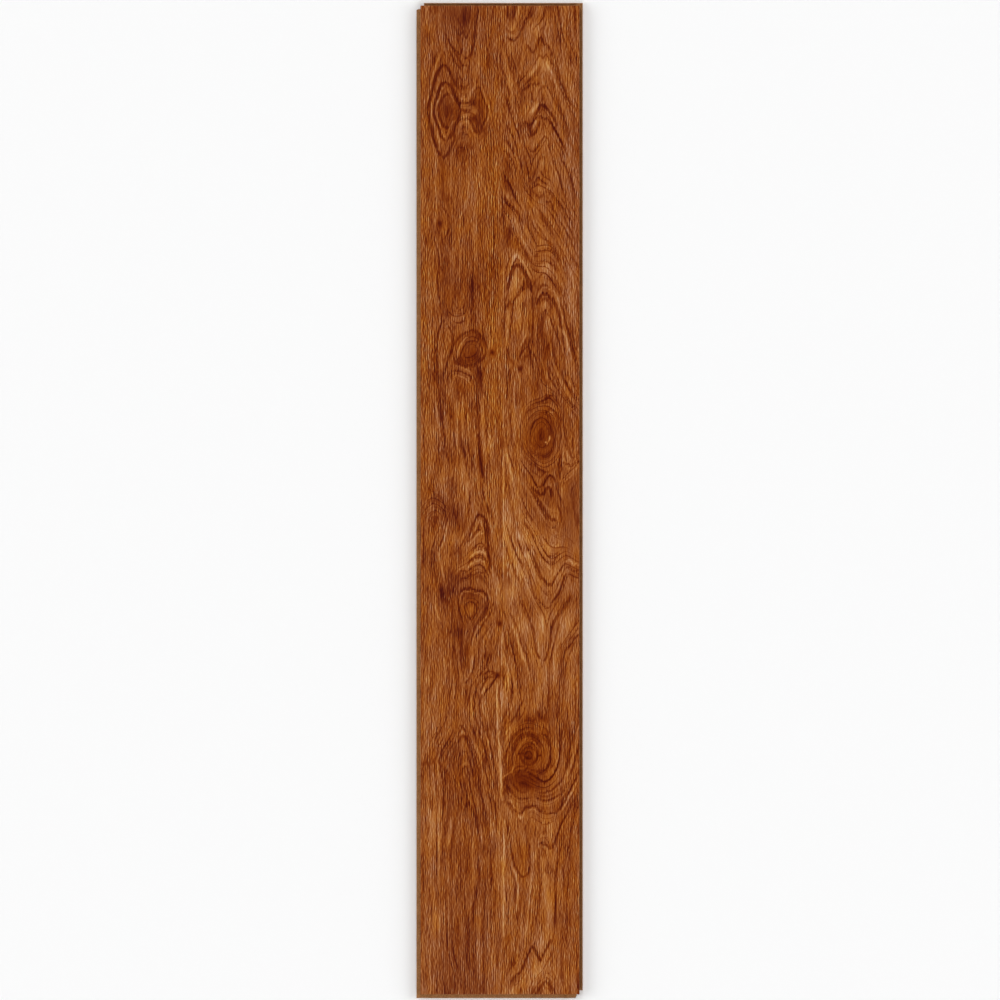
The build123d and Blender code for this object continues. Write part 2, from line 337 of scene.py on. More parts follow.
# Pale growth lines: strength, width, path
LIGHT_LINES = [
    # Seam between the two printed strips
    (0.45, 1.6, "503.5,268 503.5,285 503.5,302"),
    (0.45, 1.6, "503.5,404 503.5,422"),
    (0.60, 1.7, "503.5,448 503.5,480 503.5,520 503.5,572"),
    (0.55, 1.6, "503,628 502,650 502,685 502,725"),
    (0.90, 2.0, "497.5,684 497,700 497.5,712 498.5,724 499,738 500,755 501,778 502,800"),
    (0.65, 2.0, "504,820 504,860 504,900 503,936"),
    # Right strip, head
    (0.40, 2.2, "547,62 549,69 552,74 556,83 559,91"),
    (0.55, 2.0, "539,116 536,122 533,130"),
    (0.45, 2.4, "538,103 536,107 532,112"),
    (0.30, 1.4, "532,122 536,118 539,114"),
    (0.40, 1.6, "537,76 534,80 531,86"),
    (0.30, 1.4, "519,233 524,240 529,247"),
    # Right strip, double arch
    (0.45, 2.4, "511,266 514,259 518,255 521,259 525,266 528,272 531,281"),
    (0.45, 1.5, "508,308 508,325 507,346"),
    (0.45, 1.6, "537,297 540,290 545,287 550,289 555,294 559,303 561,310"),
    (0.50, 1.6, "561,316 563,328 566,337 568,346 570,354"),
    (0.35, 2.0, "526,335 522,344 517,355"),
    # Right strip, small knot and large eye
    (0.50, 1.3, "518,361 517,368 518,374 520,379 519,392"),
    (0.40, 1.6, "546,361 547,370 548,379"),
    (0.40, 1.6, "515,380 514,405 514,440"),
    (0.35, 1.3, "550,413 555,412 558,418"),
    (1.15, 1.8, "545,443 547,442 549,440 550,436"),
    (0.40, 1.4, "530,442 532,446 535,449"),
    (0.40, 1.4, "538,461 544,465 550,462"),
    (0.35, 1.4, "566,450 568,456 571,459"),
    (0.35, 1.6, "560,481 567,479 573,474 579,466"),
    (0.45, 1.7, "507,453 509,463 511,472 513,480 515,490 517,500 519,510 522,519 526,525"),
    # Right strip, ribbon and cups
    (0.45, 1.3, "530,494 536,506 541,514 545,521 550,528 556,533 564,539"),
    (0.45, 1.3, "562,487 562,499"),
    (0.35, 1.8, "543,502 548,508 553,511 557,511"),
    (0.50, 2.6, "528,531 532,537 534,544 537,551 540,558 543,563 547,567 551,572"),
    (0.60, 2.0, "566,560 571,561 574,564 579,566"),
    (0.40, 2.0, "523,572 528,585 532,594 536,603"),
    # Right strip, long V
    (0.40, 2.0, "535,606 539,619 542,631 543,643"),
    (0.55, 2.0, "515,618 517,632 519,641 521,650 523,657 526,664 529,674"),
    (0.45, 2.0, "539,688 538,699 538,710"),
    # Right strip, great knot
    (0.50, 1.4, "518,750 520,746 523,743 527,741 531,741 534,742 537,746"),
    (0.55, 1.5, "533,748 535,752 535,757"),
    (0.80, 1.7, "502,778 508,775 512,772 514,768"),
    (0.35, 2.0, "576,733 574,750 571,764 566,777"),
    (0.35, 2.0, "577,780 571,794 566,804 561,812"),
    (0.60, 1.6, "509,799 514,807 518,813 521,819 525,812"),
    (0.60, 1.6, "529,810 534,809 538,814"),
    # Right strip, foot of the plank
    (0.55, 1.7, "510,850 512,866 516,876 518,885 518,895 517,905 516,916"),
    (0.50, 1.7, "532,872 531,882 530,892 529,902 528,915 525,948"),
    (0.40, 1.6, "539,841 537,850 535,860"),
    # Left strip, head
    (0.25, 3.0, "439,6 439,22 440,42"),
    (0.30, 2.4, "480,22 478,40 478,62 475,84"),
    # Left strip, trunk and small knot
    (0.40, 1.6, "431,128 434,146 436,160 436,185 437,204 435,220 437,232 439,242"),
    (0.32, 1.4, "456,142 452,151 451,165 451,186 452,200 455,216 457,230 452,246"),
    (0.35, 1.6, "467,196 465,206 462,214 458,220"),
    # Left strip, oval knot
    (0.65, 1.8, "458,356 459,349 461,344 464,340 468,337"),
    (0.30, 1.4, "481,358 484,353 485,347"),
    (0.35, 1.5, "467,314 468,325 465,332"),
    (0.40, 1.8, "454,367 460,367 466,369 472,374"),
    (0.40, 1.6, "447,402 450,391 453,381 456,376 461,377 467,380 471,384"),
    # Left strip, streaks
    (0.35, 1.5, "433,394 436,405 437,418 439,430 441,441 440,455 436,472"),
    (0.40, 1.5, "457,400 457,420 457,446"),
    (0.35, 1.5, "463,396 463,415 463,440"),
    (0.35, 1.4, "468,402 468,436"),
    (0.45, 1.3, "483.5,394 483,410 483,438"),
    (0.40, 1.6, "475,438 475,452"),
    # Left strip, stacked domes
    (0.45, 2.6, "467,480 467,502"),
    (0.45, 1.6, "486,480 486,508"),
    (0.30, 1.5, "430,508 435,504 440,507"),
    (0.55, 2.2, "469,539 474,531 477,525 480,521 482,526"),
    (0.55, 1.8, "468,546 472,541 476,536 480,533 484,534"),
    (0.55, 2.4, "470,558 474,554 478,552 483,552 486,555"),
    (0.50, 2.0, "466,570 470,566 474,562 479,561 484,562 487,567"),
    (0.35, 1.5, "455,575 459,570 463,567 467,565"),
    (0.45, 1.6, "460,603 462,594 467,591 473,593 480,594 484,598 487,604"),
    (0.60, 1.8, "448,522 445,535 441,546 439,553 440,559 442,567 444,581"),
    # Left strip, teardrop, V and curled knot
    (0.45, 1.5, "433,599 436,608 438,616 441,623"),
    (0.45, 1.8, "491,608 485,618 480,626 475,635 472,645 473,655"),
    (0.60, 1.8, "473,654 472,662 471,670 469,677 466,681"),
    (0.35, 1.4, "462,661 464,672 465,679"),
    (0.45, 1.5, "487,681 484,690 482,700 483,713"),
    (0.40, 1.5, "472,686 471,700 472,714 474,726"),
    (0.40, 1.5, "444,658 446,674 442,688 439,700"),
    # Left strip, narrow cathedral
    (0.45, 1.6, "460,735 463,731 466,736"),
    (0.40, 1.6, "462,768 465,762 468,768"),
    (0.40, 1.5, "451,727 446,735 442,743 437,751 434,758"),
    (0.40, 1.4, "452,752 448,758 446,765 448,771 453,777"),
    (0.50, 1.5, "483,720 486,732 489,745 491,758"),
    (0.30, 1.5, "474,735 477,748 481,760 484,775 488,791"),
    (0.45, 1.2, "438.6,792 438.6,830 438.6,885"),
    (0.40, 3.0, "452,818 450,832 448,846"),
    # Left strip, foot of the plank
    (0.40, 1.5, "473,843 473,862 474,886"),
    (0.20, 3.0, "449,862 449,880 449,902"),
    (0.50, 1.3, "456.5,864 456.5,877"),
    (0.40, 1.3, "453,848 453,860"),
]

# Stains and knots: darkening, warmth, middle, half width, half height
STAINS = [
    # Broad shade over the sheet
    (0.05, 0.9, 491, 250, 11, 200), (0.0, 0.5, 427, 300, 8, 200), (0.0, -0.4, 570, 200, 10, 160),
    (0.0, -0.5, 462, 930, 40, 80),
    (0.15, -0.9, 462, 20, 34, 34), (0.30, -0.6, 447, 108, 15, 30), (0.20, -0.5, 478, 110, 8, 20),
    (-0.20, -0.3, 540, 30, 12, 9), (-0.25, -0.3, 545, 66, 12, 11), (-0.15, -0.2, 530, 106, 9, 9),
    (0.20, 0.0, 455, 150, 14, 10), (-0.15, 0.4, 488, 170, 9, 12), (0.15, 0.2, 530, 175, 12, 14),
    (0.15, 0.5, 552, 206, 10, 9), (-0.12, 0.3, 545, 235, 20, 18), (-0.12, -0.4, 573, 180, 7, 70),
    (-0.12, 0.4, 490, 240, 9, 12), (0.12, -0.2, 472, 290, 10, 22), (0.20, 0.1, 470, 348, 20, 18),
    (-0.22, 0.5, 498, 330, 9, 30), (-0.22, 0.5, 500, 400, 11, 40), (-0.25, 0.4, 506, 470, 12, 34),
    (0.12, -0.4, 440, 380, 6, 18), (0.15, -0.5, 447, 455, 9, 10), (-0.15, 0.4, 462, 424, 7, 14),
    (0.20, 0.4, 542, 440, 15, 44), (0.12, 0.2, 532, 345, 16, 22), (-0.15, -0.4, 573, 300, 7, 50),
    (0.18, -0.6, 448, 515, 14, 14), (0.15, 0.1, 540, 505, 14, 12), (-0.32, 0.1, 528, 548, 24, 22),
    (-0.20, 0.2, 508, 560, 9, 26), (0.28, -0.8, 448, 592, 15, 9), (0.22, 0.0, 476, 610, 15, 14),
    (0.12, 0.0, 470, 580, 20, 12), (-0.30, -0.2, 547, 620, 8, 9), (-0.18, -0.1, 540, 655, 16, 26),
    (0.15, -0.4, 562, 602, 16, 5), (0.18, -0.3, 464, 655, 5, 20), (0.15, 0.0, 486, 660, 8, 10),
    (-0.22, 0.6, 504, 680, 6, 40), (-0.15, 0.5, 516, 695, 9, 12), (-0.15, -0.1, 570, 650, 8, 30),
    (0.10, 0.9, 530, 735, 20, 16), (0.05, 0.9, 530, 765, 28, 24), (0.15, 0.0, 470, 775, 13, 34),
    (-0.20, -0.1, 437, 825, 8, 24), (0.15, 0.0, 470, 880, 10, 50), (-0.22, 0.5, 503, 880, 6, 50),
    (-0.15, 0.6, 547, 875, 7, 46), (0.15, 0.5, 567, 860, 9, 40), (0.22, -0.9, 462, 965, 20, 26),
    (-0.22, 0.0, 543, 967, 11, 10), (-0.12, -0.4, 432, 985, 10, 10),
    # Right strip
    (0.45, -0.8, 508, 13, 5, 6), (0.35, -0.4, 532, 14, 5, 6), (-0.40, 0.2, 513, 32, 6, 7),
    (-0.30, 0.2, 512, 47, 4, 5), (0.35, -0.3, 550, 7, 5, 4), (-0.20, 0.1, 546, 61, 2, 6),
    (-0.35, 0.1, 540, 64, 2.5, 7), (-0.60, 0.0, 534, 74, 4, 5), (-0.50, 0.1, 531, 111, 4, 4.5),
    (0.40, 0.0, 544, 107, 5, 3), (0.45, 0.0, 528, 124, 4, 3), (0.35, 0.6, 506, 168, 5, 13),
    (-0.45, 0.2, 542, 165, 4, 8), (0.30, 0.2, 531, 172, 6, 9), (-0.40, 0.2, 540, 188, 3, 6),
    (-0.35, 0.8, 509, 196, 3, 4), (0.60, -0.2, 510, 230, 4.5, 5.5), (0.30, 0.6, 512, 243, 7, 7),
    (0.10, -0.7, 575, 190, 6, 60), (-0.25, -0.2, 517, 257, 4, 4), (0.45, 0.2, 525, 288, 3.5, 4.5),
    (-0.35, 0.5, 516, 281, 4, 8), (-0.30, 0.8, 520, 312, 6, 18), (-0.45, 0.1, 546, 268, 5, 4),
    (0.55, 0.0, 536, 284, 2, 5), (0.45, 0.1, 532, 302, 3, 4), (-0.45, 0.2, 545, 304, 3, 3),
    (-0.40, 0.2, 547, 323, 3, 8), (0.45, 0.1, 531, 341, 6, 4), (-0.35, 0.2, 528, 370, 2.5, 5),
    (1.10, 0.3, 520.5, 369, 2.2, 2.5), (0.30, 0.9, 539, 432, 9, 20), (0.30, 0.8, 539, 437, 4, 4),
    (0.35, 0.6, 538, 446, 4, 3), (0.25, 0.3, 541, 434, 19, 26), (0.35, -0.2, 551, 497, 5, 8),
    (0.25, -0.9, 574, 518, 8, 42), (-0.35, 0.7, 552, 548, 8, 6), (0.35, -0.6, 526, 548, 5, 4.5),
    (-0.50, 0.2, 527, 556, 4, 3.5), (0.35, -0.3, 572, 599, 5, 4), (-0.50, 0.2, 543, 626, 3, 8),
    (0.35, 0.0, 553, 627, 3, 5), (0.55, -0.6, 563, 668, 3.5, 10), (0.40, -0.4, 572, 639, 2.5, 4),
    (0.35, 0.2, 530, 720, 9, 6), (0.70, 1.2, 529, 756, 6, 7), (0.10, 0.9, 529, 750, 15, 17),
    (0.70, 1.0, 526, 780, 15, 8), (0.50, 0.4, 504, 781, 4, 2.5), (0.45, 0.4, 506, 791, 4, 4),
    (-0.35, 0.1, 548, 828, 7, 10), (0.20, 0.8, 522, 858, 7, 14), (0.40, -0.2, 544, 843, 4, 3),
    (0.35, -0.2, 549, 867, 3, 5), (-0.35, 0.0, 548, 900, 4.5, 30), (-0.50, 0.1, 541, 944, 3, 7),
    (-0.35, 0.2, 522, 930, 3, 9), (-0.30, 0.1, 539, 975, 9, 9), (-0.30, 0.0, 516, 950, 3, 8),
    # Left strip
    (0.50, -1.3, 458, 14, 13, 12), (0.60, -0.6, 464, 21, 4, 8), (-0.30, 0.2, 467, 47, 3, 6),
    (0.20, 0.6, 449, 111, 12, 18), (0.28, 0.2, 447.5, 111, 4, 6), (0.30, 0.8, 480, 111, 8, 20),
    (0.60, 0.2, 473, 103, 3.5, 3.2), (0.60, 0.2, 473, 119, 3.5, 3.2), (-0.60, 0.2, 474, 111, 2.4, 4.5),
    (-0.55, 0.2, 462.5, 106, 1.6, 2.4), (-0.55, 0.2, 467, 106, 1.6, 2.4),
    (-0.55, 0.2, 462.5, 116, 1.6, 2.4), (-0.55, 0.2, 467, 116, 1.6, 2.4),
    (0.28, -0.2, 464, 146, 7, 4), (0.30, 0.5, 463, 153, 9, 8), (0.25, 0.7, 444, 186, 6, 24),
    (1.10, 0.2, 440, 224, 2.5, 3), (-0.30, 0.3, 445, 228, 2.5, 6), (0.22, -0.4, 446, 280, 8, 34),
    (0.30, -0.4, 473, 294, 4, 16), (-0.30, 0.8, 459, 299, 3, 7), (-0.35, 0.3, 444, 346, 5, 20),
    (0.35, -0.8, 447, 314, 5, 4), (0.40, 0.0, 450, 352, 2, 5), (0.60, -0.3, 476, 356, 5, 5),
    (0.50, 0.2, 480, 338, 4, 3), (0.40, 0.2, 464, 361, 9, 4), (0.15, 0.4, 469, 350, 12, 14),
    (1.30, 0.2, 492.5, 352.5, 2.0, 2.3), (0.30, 0.8, 462, 388, 8, 6), (0.35, -0.3, 478, 372, 4, 9),
    (0.25, -0.7, 442, 420, 5, 40), (-0.35, 0.5, 461, 408, 4, 10), (-0.35, 0.3, 463, 470, 4, 14),
    (0.30, -0.8, 449, 506, 8, 16), (0.35, -0.8, 435, 499, 5, 4), (-0.35, 0.3, 453, 538, 6, 7),
    (0.50, 0.0, 492.5, 549, 1.4, 3), (0.30, 0.0, 491, 556, 2, 3), (0.45, -0.9, 451, 591, 8, 5),
    (0.45, -0.4, 442, 596, 4, 7), (-0.40, 0.4, 471, 609, 4, 6), (0.55, -0.6, 458, 632, 3.5, 5),
    (0.35, 0.0, 466, 660, 3, 11), (1.30, 0.2, 500, 623.5, 2.2, 2.4),
    (0.60, 0.1, 487, 656, 3, 3.5), (1.40, 0.2, 497.5, 675.5, 2.6, 2.4), (0.60, 0.0, 424, 764, 3, 1.6),
    (0.25, 0.3, 466, 788, 4, 14), (-0.35, 0.1, 431, 825, 5, 15), (0.30, 0.6, 467, 858, 5, 22),
    (-0.25, 0.1, 470, 899, 3.5, 12), (-0.30, 0.9, 437, 922, 3, 8), (0.15, -0.9, 462, 985, 36, 14),
]

# Broad light and shade: darkening, middle, half width, half height
SHADES = [
    # Right strip
    (-0.20, 548, 62, 9, 14), (-0.30, 510, 82, 5, 8), (0.35, 521, 103, 6, 10), (-0.25, 536, 100, 4, 8),
    (0.30, 515, 185, 8, 10), (0.30, 508, 208, 5, 8), (0.45, 508, 235, 5, 8), (0.35, 552, 232, 8, 10),
    (-0.30, 560, 172, 9, 7), (0.25, 545, 168, 5, 10), (-0.30, 547, 280, 6, 8), (-0.10, 569, 285, 6, 30),
    (-0.15, 518, 318, 6, 10), (0.55, 545, 350, 6, 16), (-0.25, 504, 370, 5, 8), (0.30, 521, 395, 5, 14),
    (0.30, 552, 396, 12, 6), (0.25, 564, 408, 4, 8), (-0.30, 567, 446, 7, 10), (0.30, 561, 473, 5, 6),
    (-0.30, 509, 516, 4, 12), (-0.20, 552, 515, 10, 6), (-0.30, 557, 574, 9, 12), (-0.30, 517, 628, 10, 14),
    (-0.35, 568, 622, 9, 9), (0.30, 534, 610, 5, 7), (-0.25, 551, 664, 9, 18), (-0.25, 511, 680, 6, 10),
    (-0.30, 531, 711, 7, 6), (0.40, 553, 712, 6, 12), (0.15, 532, 782, 14, 10), (0.30, 514, 788, 8, 6),
    (0.30, 536, 833, 5, 6), (0.25, 511, 860, 5, 10), (-0.12, 507, 922, 6, 14), (-0.40, 541, 946, 5, 10),
    (0.10, 563, 963, 7, 12),
    (0.30, 513, 60, 9, 16), (0.25, 549, 59, 7, 5), (0.20, 544, 153, 6, 5), (0.25, 531, 191, 8, 6),
    (-0.20, 531, 236, 18, 12), (-0.25, 538, 9, 8, 5), (-0.20, 530, 336, 7, 5), (-0.20, 558, 308, 5, 6),
    (0.25, 543, 370, 14, 8), (0.20, 533, 386, 6, 8), (-0.25, 511, 453, 5, 10), (-0.20, 526, 420, 6, 6),
    (-0.25, 550, 485, 8, 6), (-0.80, 508, 593, 6, 9), (-0.40, 521, 537, 6, 5), (-0.20, 544, 577, 12, 8),
    (0.35, 544, 657, 4, 7), (-0.35, 509, 733, 5, 12), (0.25, 554, 730, 8, 10), (-0.40, 570, 784, 6, 10),
    (-0.30, 507, 819, 4, 10), (0.25, 563, 847, 4, 24), (-0.25, 550, 862, 6, 8), (0.40, 563, 937, 5, 10),
    (0.35, 513, 982, 6, 5), (-0.35, 533, 985, 8, 4),
    (0.30, 509, 28, 8, 8), (0.20, 544, 18, 8, 6), (-0.20, 530, 90, 5, 6), (0.25, 506, 162, 4, 10),
    (-0.20, 531, 174, 6, 9), (-0.25, 515, 224, 5, 5), (0.25, 538, 260, 5, 6), (0.30, 536, 315, 5, 9),
    (0.20, 536, 391, 5, 7), (-0.30, 535, 437, 9, 14), (-0.30, 564, 461, 5, 7), (0.25, 548, 468, 5, 4),
    (0.20, 540, 524, 9, 5), (0.30, 553, 563, 6, 5), (-0.25, 520, 573, 9, 10), (-0.30, 526, 630, 5, 9),
    (0.20, 544, 738, 10, 7), (0.40, 509, 771, 5, 9), (0.20, 524, 801, 6, 6), (-0.25, 547, 846, 8, 5),
    (0.25, 541, 870, 5, 6), (-0.25, 515, 903, 4, 9), (-0.15, 562, 974, 6, 10),
    # Left strip
    (-0.20, 470, 190, 7, 12), (-0.15, 424, 97, 4, 14), (0.30, 424, 264, 5, 8),
    (0.35, 472, 280, 6, 18), (0.25, 497, 300, 14, 14), (-0.30, 424, 360, 4, 8),
    (0.25, 447, 378, 14, 7), (0.35, 463, 420, 6, 18), (-0.45, 488, 446, 6, 10), (-0.25, 436, 425, 7, 14),
    (0.25, 452, 460, 6, 6), (-0.25, 480, 485, 8, 10), (0.40, 433, 562, 6, 12),
    (0.25, 501, 572, 5, 6), (0.15, 471, 602, 8, 12), (0.35, 457, 628, 8, 18),
    (-0.20, 490, 638, 8, 8), (-0.45, 434, 715, 5, 18), (0.45, 487, 727, 8, 6),
    (0.40, 451, 744, 5, 6), (0.25, 485, 680, 5, 8), (-0.35, 435, 785, 4, 14), (0.30, 424, 770, 4, 8),
    (0.40, 453, 795, 6, 28), (0.45, 480, 795, 4, 18), (-0.35, 493, 828, 6, 9), (-0.15, 439, 857, 4, 16),
    (0.40, 483, 890, 5, 24), (-0.25, 440, 918, 8, 12), (-0.40, 497, 973, 4, 10),
    (0.30, 462, 43, 5, 9), (0.25, 434, 140, 4, 8), (0.25, 494, 152, 8, 16), (0.20, 438, 161, 8, 6),
    (-0.25, 466, 148, 6, 5), (0.30, 429, 238, 6, 12), (0.25, 471, 243, 5, 6), (0.20, 461, 219, 4, 5),
    (0.25, 494, 219, 6, 7), (-0.20, 474, 213, 4, 8), (0.30, 458, 290, 5, 14), (0.40, 496, 268, 6, 16),
    (0.30, 436, 316, 4, 9), (0.25, 473, 318, 6, 6), (0.30, 500, 336, 6, 16), (0.30, 480, 390, 4, 14),
    (0.30, 498, 410, 4, 14), (0.20, 453, 412, 4, 10), (0.35, 465, 455, 5, 8), (-0.20, 500, 473, 5, 6),
    (0.45, 450, 576, 9, 8), (-0.20, 486, 505, 5, 6), (0.30, 501, 530, 4, 12), (0.25, 488, 607, 6, 6),
    (0.20, 468, 647, 4, 8), (0.20, 468, 697, 7, 6), (0.30, 451, 757, 8, 10), (0.30, 446, 824, 6, 14),
    (0.45, 452, 854, 6, 14), (0.35, 485, 819, 4, 12), (0.40, 485, 850, 4, 9), (0.05, 480, 920, 7, 12),
    (0.35, 426, 38, 6, 9), (0.25, 496, 68, 7, 18), (0.20, 461, 55, 5, 12), (0.25, 441, 84, 5, 10),
    (0.20, 434, 125, 5, 18), (-0.25, 474, 106, 12, 14), (0.20, 482, 131, 14, 7), (-0.25, 449, 190, 6, 12),
    (0.30, 450, 236, 8, 8), (0.30, 496, 234, 6, 10), (0.30, 457, 298, 6, 8), (-0.30, 458, 315, 7, 6),
    (0.35, 456, 366, 8, 8), (0.20, 440, 348, 4, 8), (0.25, 497, 381, 4, 8), (0.25, 479, 409, 4, 7),
    (-0.25, 447, 415, 4, 10), (-0.25, 443, 443, 4, 9), (-0.20, 490, 347, 4, 8), (-0.25, 450, 500, 8, 7),
    (0.25, 462, 527, 8, 8), (0.25, 456, 552, 10, 8), (0.25, 461, 576, 8, 6), (-0.35, 493, 527, 4, 9),
    (0.40, 426, 590, 6, 6), (0.40, 471, 597, 9, 6), (0.35, 447, 610, 6, 6), (-0.40, 498, 594, 5, 10),
    (-0.25, 430, 678, 8, 14), (0.20, 484, 768, 5, 5), (0.35, 432, 798, 8, 7), (-0.30, 436, 760, 4, 7),
    (0.25, 478, 820, 12, 9), (-0.20, 478, 801, 9, 5), (-0.25, 436, 880, 4, 10), (0.30, 458, 940, 5, 6),
    (-0.20, 438, 946, 5, 8), (0.35, 423, 980, 4, 10),
]

# Open pores: how much deeper or shallower than elsewhere, middle, half width, half height
PORE_ZONES = [
    (0.32, 492, 240, 9, 260), (0.25, 428, 320, 8, 120), (-0.10, 450, 910, 30, 90),
    (-0.55, 573, 520, 8, 45), (-0.50, 447, 111, 11, 30), (-0.40, 480, 111, 7, 20),
    (-0.45, 470, 350, 14, 16), (-0.50, 541, 434, 14, 24), (-0.50, 529, 757, 14, 22),
    (-0.45, 549, 905, 5, 32), (-0.40, 459, 15, 14, 14), (-0.40, 444, 186, 6, 26),
    (-0.25, 540, 100, 16, 100), (-0.25, 545, 290, 24, 60), (-0.30, 545, 520, 24, 70),
    (-0.30, 545, 640, 24, 60), (-0.30, 476, 560, 18, 50), (-0.25, 540, 800, 30, 40), (-0.45, 525, 781, 17, 9),
    (-0.25, 520, 862, 10, 16), (-0.20, 462, 640, 20, 40), (-0.25, 448, 285, 9, 34),
    (-1.30, 492.5, 352.5, 3, 3.2), (-0.90, 520.5, 369, 3, 3.4), (-0.90, 440, 224, 3.4, 4),
    (-1.00, 500, 623.5, 3, 3.2), (-0.90, 497, 676, 3.2, 3.2), (-0.70, 481, 462, 2.5, 18),
]

# Fine growth lines: how much stronger or weaker than elsewhere, middle, half width, half height
RING_ZONES = [
    (0.20, 512, 150, 14, 110), (-0.20, 566, 150, 16, 180), (0.30, 540, 260, 30, 90), (0.40, 552, 400, 24, 60),
    (0.40, 530, 560, 30, 80), (0.20, 560, 780, 22, 60), (-0.70, 535, 812, 22, 13),
    (-0.80, 492, 200, 10, 240), (0.10, 464, 820, 40, 120),
    (-0.45, 460, 50, 40, 60), (-0.50, 428, 250, 8, 200), (-0.45, 466, 210, 20, 70), (-0.30, 570, 520, 10, 45),
]

# Knots, round which the growth rings close: middle, half width, half height
KNOTS = [
    (446, 111, 19, 47), (480, 111, 11, 26), (445, 226, 8, 16), (470, 349, 17, 19), (444, 346, 8, 26),
    (541, 436, 21, 33), (472, 608, 13, 18), (530, 752, 24, 28),
]


def srgb(red, green, blue):
    """A colour as the eye reads it on a screen, 0 to 255, in the renderer's linear light."""
    channels = []
    for value in (red, green, blue):
        value /= 255
        channels.append(value / 12.92 if value <= 0.04045 else ((value + 0.055) / 1.055) ** 2.4)
    return (*channels, 1.0)


# Printed face: the figure drawn on the sheet

def read_path(text):
    """Points of a drawn line."""
    return np.array([[float(number) for number in pair.split(",")] for pair in text.split()])


def flowing(points, steps=6):
    """Smooth line through the drawn points, as a flexible rule would lie."""
    ends = np.vstack([2 * points[0] - points[1], points, 2 * points[-1] - points[-2]])
    share = np.linspace(0, 1, steps, endpoint=False)[:, None]
    spans = []
    for before, start, end, after in zip(ends, ends[1:], ends[2:], ends[3:]):
        bend = 2 * before - 5 * start + 4 * end - after
        twist = 3 * start - before - 3 * end + after
        spans.append(start + 0.5 * share * (end - before + share * (bend + share * twist)))
    return np.vstack(spans + [points[-1:]])


def mottle(shape, step_v, step_u, seed):
    """Smooth random field, with lumps of the given size in cells."""
    rows, columns = shape
    knots = np.random.default_rng(seed).standard_normal((int(rows / step_v) + 3, int(columns / step_u) + 3))
    v = np.arange(rows) / step_v
    u = np.arange(columns) / step_u
    v0 = v.astype(int)
    u0 = u.astype(int)
    fv = (v - v0)[:, None]
    fu = (u - u0)[None, :]
    fv = fv * fv * (3 - 2 * fv)
    fu = fu * fu * (3 - 2 * fu)
    top = knots[v0][:, u0] * (1 - fu) + knots[v0][:, u0 + 1] * fu
    low = knots[v0 + 1][:, u0] * (1 - fu) + knots[v0 + 1][:, u0 + 1] * fu
    return top * (1 - fv) + low * fv


def line_print(u, v, ragged_u, ragged_v, lines):
    """Shape and ink of the drawn lines all over the sheet; where two meet, the stronger shows."""
    shape = np.zeros(ragged_u.shape)
    ink = np.zeros(ragged_u.shape)
    for strength, width, path in lines:
        points = flowing(path)
        reach = 2.0 * width + 6
        near_u = (u > points[:, 0].min() - reach) & (u < points[:, 0].max() + reach)
        near_v = (v > points[:, 1].min() - reach) & (v < points[:, 1].max() + reach)
        window = np.ix_(near_v, near_u)
        here_u = ragged_u[window]
        here_v = ragged_v[window]
        nearest = np.full(here_u.shape, 1e9)
        along = np.zeros(here_u.shape)
        spans = len(points) - 1
        for index in range(spans):
            start = points[index]
            run = points[index + 1] - start
            share = ((here_u - start[0]) * run[0] + (here_v - start[1]) * run[1]) / (run @ run)
            share = np.clip(share, 0, 1)
            distance = (here_u - start[0] - share * run[0]) ** 2 + (here_v - start[1] - share * run[1]) ** 2
            closer = distance < nearest
            nearest = np.where(closer, distance, nearest)
            along = np.where(closer, (index + share) / spans, along)
        fade = np.clip(np.minimum(along, 1 - along) / 0.15, 0, 1)
        spread = max(width / 1.96, 0.8)
        stroke = (0.7 + 0.3 * fade) * np.exp(-nearest / (2 * spread * spread))
        stronger = strength * stroke > ink[window] * shape[window]
        shape[window] = np.where(stronger, stroke, shape[window])
        ink[window] = np.where(stronger, strength, ink[window])
    return shape, ink


def drawn(lines):
    """Lines with their paths read."""
    return [(strength, width, read_path(text)) for strength, width, text in lines]


def both_halves(lines):
    """Lines of the double eye and the same lines turned over about its middle height."""
    halves = []
    for strength, width, points in drawn(lines):
        over = points.copy()
        over[:, 1] = 2 * EYE_MIDDLE - over[:, 1]
        halves += [(strength, width, points), (strength, width, over)]
    return halves


def softened(field, reach_v, reach_u):
    """A field smoothed over the given reach, in cells."""
    for axis, reach in ((0, reach_v), (1, reach_u)):
        half = int(3 * reach)
        kernel = np.exp(-0.5 * (np.arange(-half, half + 1) / reach) ** 2)
        kernel /= kernel.sum()
        margins = [(half, half) if side == axis else (0, 0) for side in (0, 1)]
        padded = np.pad(field, margins, mode="edge")
        field = np.apply_along_axis(np.convolve, axis, padded, kernel, "valid")
    return field


